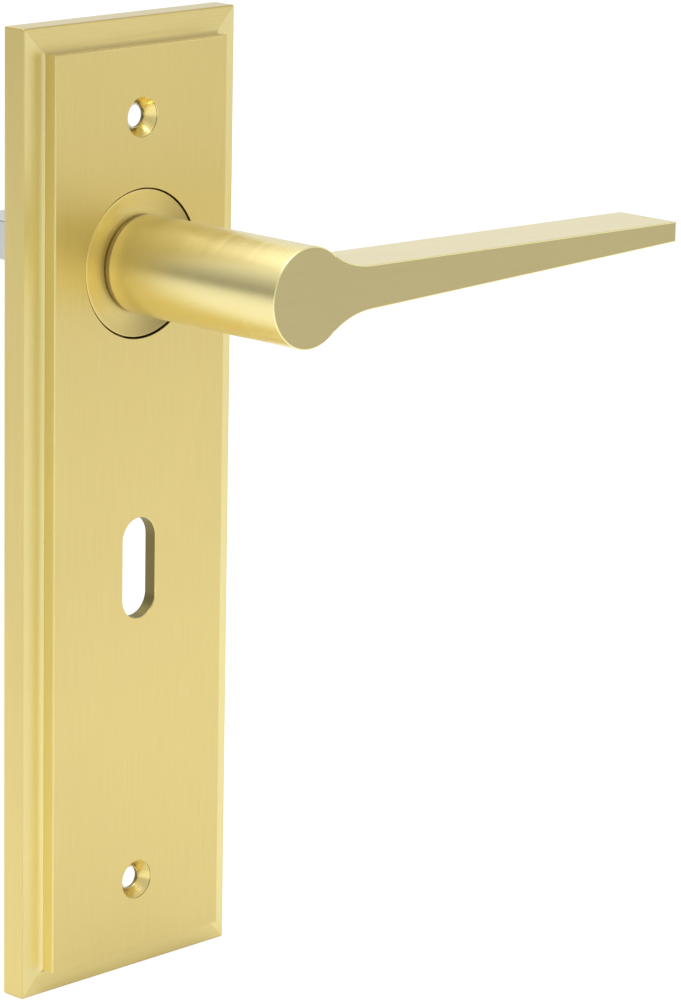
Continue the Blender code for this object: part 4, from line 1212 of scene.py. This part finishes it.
class LOCKSET_OT_circlip(bpy.types.Operator):
    """Build the open ring that keeps the handle in its rose"""

    bl_idname = "lockset.circlip"
    bl_label = "Circlip"

    def execute(self, context):
        sizes = context.scene.lockset_inner
        bore, radius, (back, front) = sizes.clip_bore, CLIP_X[1], CLIP_Z
        profile = [(bore, back), (radius, back), (radius, front), (bore, front)]
        clip = turned("neck_clip", profile, closed=True)
        mouth = add(
            "mouth", bpy.ops.mesh.primitive_cylinder_add, vertices=3, radius=sizes.mouth_radius,
            depth=4 * PAST, location=(0.0, -sizes.mouth_below, 0.0),
        )
        combine(clip, mouth, "DIFFERENCE")
        present(clip, "handle", "circlip", "black_steel", finish("oiled_black_steel"))
        return {"FINISHED"}


class LOCKSET_OT_inner_parts(bpy.types.Operator):
    """Give the parts that stay hidden their worked metal and moulded nylon"""

    bl_idname = "lockset.inner_parts"
    bl_label = "Inner parts"

    def execute(self, context):
        finishes = {
            "spring_housing": "zinc_plating", "stop_cam": "bright_steel", "rest_stop_pin": "bright_steel",
            "travel_stop_pin": "bright_steel", "return_spring": "blued_spring_steel",
            "wave_washer": "blued_spring_steel", "neck_bush": "black_nylon", "thrust_washer": "black_nylon",
        }
        for node, name in finishes.items():
            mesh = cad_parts[node].data
            mesh.materials.clear()
            mesh.materials.append(finish(name))
        return {"FINISHED"}


# ---------------------------------------------------------------- stage

def floor_material(colour):
    material, t, shader, place = new_material("pale_floor")
    cloud = t.noise(place, 3.0, 2.0)
    t.join(t.mix(cloud, shade(colour, 0.98), colour), shader.inputs["Base Color"])
    shader.inputs["Roughness"].default_value = 0.9
    seen = t.node("ShaderNodeEmission", Color=(1.0, 1.0, 1.0, 1.0), Strength=1.12)
    mixed = t.node("ShaderNodeMixShader")
    direct = t.math("MULTIPLY_ADD", t.node("ShaderNodeLightPath").outputs["Is Camera Ray"], 0.58, 0.28)
    t.join(direct, mixed.inputs[0])
    t.join(shader.outputs[0], mixed.inputs[1])
    t.join(seen.outputs[0], mixed.inputs[2])
    output = next(node for node in material.node_tree.nodes if node.type == "OUTPUT_MATERIAL")
    t.join(mixed.outputs[0], output.inputs["Surface"])
    return material


def add_soft_light(name, place, target, size, watts):
    light = bpy.data.lights.new(name, "AREA")
    light.shape = "RECTANGLE"
    light.size, light.size_y = size
    light.energy = watts
    lamp = bpy.data.objects.new(name, light)
    bpy.context.scene.collection.objects.link(lamp)
    lamp.location = place
    lamp.rotation_euler = (Vector(target) - Vector(place)).to_track_quat("-Z", "Y").to_euler()
    lamp.visible_camera = False


def add_camera(stage):
    """The camera stands to the left, a little above, and looks down on the handle."""
    yaw, pitch, roll = stage.yaw, stage.pitch, stage.roll
    ahead = Vector((math.sin(yaw) * math.cos(pitch), math.cos(yaw) * math.cos(pitch), math.sin(pitch)))
    level = Vector((math.cos(yaw), -math.sin(yaw), 0.0))
    upright = level.cross(ahead)
    right = math.cos(roll) * level + math.sin(roll) * upright
    up = -math.sin(roll) * level + math.cos(roll) * upright
    camera = bpy.data.objects.new("camera", bpy.data.cameras.new("camera"))
    bpy.context.scene.collection.objects.link(camera)
    turn = Matrix((right, up, -ahead)).transposed().to_4x4()
    camera.matrix_world = Matrix.Translation(Vector(stage.aim) - stage.distance * ahead) @ turn
    camera.data.lens = stage.lens
    camera.data.sensor_width = 36.0
    camera.data.clip_start = 0.01
    bpy.context.scene.camera = camera


SKY_LOBES = [  # where it lies, how wide it starts (1 is a point), how much it adds
    ((-0.25, 0.35, 0.9), 0.5, 0.55),
    ((0.7, 0.66, 0.25), 0.6, 0.2),
    ((-0.85, 0.5, 0.1), 0.68, -0.45),
]


def sky(strength):
    """Soft light from all round, a little brighter above and behind the door."""
    world = bpy.data.worlds.new("studio")
    bpy.context.scene.world = world
    world.use_nodes = True
    t = Tree(world.node_tree)
    background = world.node_tree.nodes["Background"]
    way = t.node("ShaderNodeTexCoord").outputs["Generated"]
    total = strength
    for direction, low, amount in SKY_LOBES:
        along = t.node("ShaderNodeVectorMath", {"operation": "DOT_PRODUCT"})
        t.join(way, along.inputs[0])
        t.join(Vector(direction).normalized(), along.inputs[1])
        rise = t.spread(along.outputs["Value"], low, 1.0, 0.0, amount)
        total = t.math("ADD", total, rise)
    t.join(total, background.inputs["Strength"])
    background.inputs["Color"].default_value = (1.0, 1.0, 1.0, 1.0)


class LOCKSET_OT_stage(bpy.types.Operator):
    """Set up the pale floor, the soft light and the camera"""

    bl_idname = "lockset.stage"
    bl_label = "Stage"

    def execute(self, context):
        stage = context.scene.lockset_stage
        below = PLATE_Y[0] - 0.1 * MM
        floor = add("floor", bpy.ops.mesh.primitive_plane_add, size=30.0, location=(0.0, 0.0, below))
        floor.data.materials.append(floor_material(tuple(stage.floor)))
        sky(stage.sky)
        add_soft_light("overhead", (-0.2, 0.1, 1.2), (0.0, 0.0, 0.0), (0.9, 0.9), stage.overhead)
        add_soft_light("side", (1.2, -1.1, 0.1), (0.02, 0.0, -0.05), (2.0, 1.6), stage.side)
        add_camera(stage)
        context.scene.view_settings.view_transform = "Standard"
        return {"FINISHED"}


class LOCKSET_PT_panel(bpy.types.Panel):
    """Lists the steps that build the lockset"""

    bl_idname = "LOCKSET_PT_panel"
    bl_label = "Lever Handle Lockset"
    bl_space_type = "VIEW_3D"
    bl_region_type = "UI"
    bl_category = "Lockset"

    def draw(self, context):
        for operator in OPERATORS:
            self.layout.operator(operator.bl_idname)
        for group_name, group in GROUPS.items():
            box = self.layout.box()
            for name in group.__annotations__:
                box.prop(getattr(context.scene, group_name), name)


GROUPS = {
    "lockset_plate": LocksetPlateSizes,
    "lockset_rose": LocksetRoseSizes,
    "lockset_lever": LocksetLeverSizes,
    "lockset_inner": LocksetInnerSizes,
    "lockset_finishes": LocksetFinishes,
    "lockset_stage": LocksetStage,
}
OPERATORS = (
    LOCKSET_OT_backplate,
    LOCKSET_OT_rose,
    LOCKSET_OT_collar,
    LOCKSET_OT_lever,
    LOCKSET_OT_spindle,
    LOCKSET_OT_grub_screw,
    LOCKSET_OT_cover,
    LOCKSET_OT_cover_screws,
    LOCKSET_OT_circlip,
    LOCKSET_OT_inner_parts,
    LOCKSET_OT_stage,
)


def register():
    for name, group in GROUPS.items():
        bpy.utils.register_class(group)
        setattr(bpy.types.Scene, name, PointerProperty(type=group))
    for item in (*OPERATORS, LOCKSET_PT_panel):
        bpy.utils.register_class(item)


def unregister():
    for item in (LOCKSET_PT_panel, *reversed(OPERATORS)):
        bpy.utils.unregister_class(item)
    for name, group in reversed(GROUPS.items()):
        delattr(bpy.types.Scene, name)
        bpy.utils.unregister_class(group)


def main():
    register()
    bpy.ops.lockset.backplate()
    bpy.ops.lockset.rose()
    bpy.ops.lockset.collar()
    bpy.ops.lockset.lever()
    bpy.ops.lockset.spindle()
    bpy.ops.lockset.grub_screw()
    bpy.ops.lockset.cover()
    bpy.ops.lockset.cover_screws()
    bpy.ops.lockset.circlip()
    bpy.ops.lockset.inner_parts()
    bpy.ops.lockset.stage()


if __name__ == "__main__":
    main()
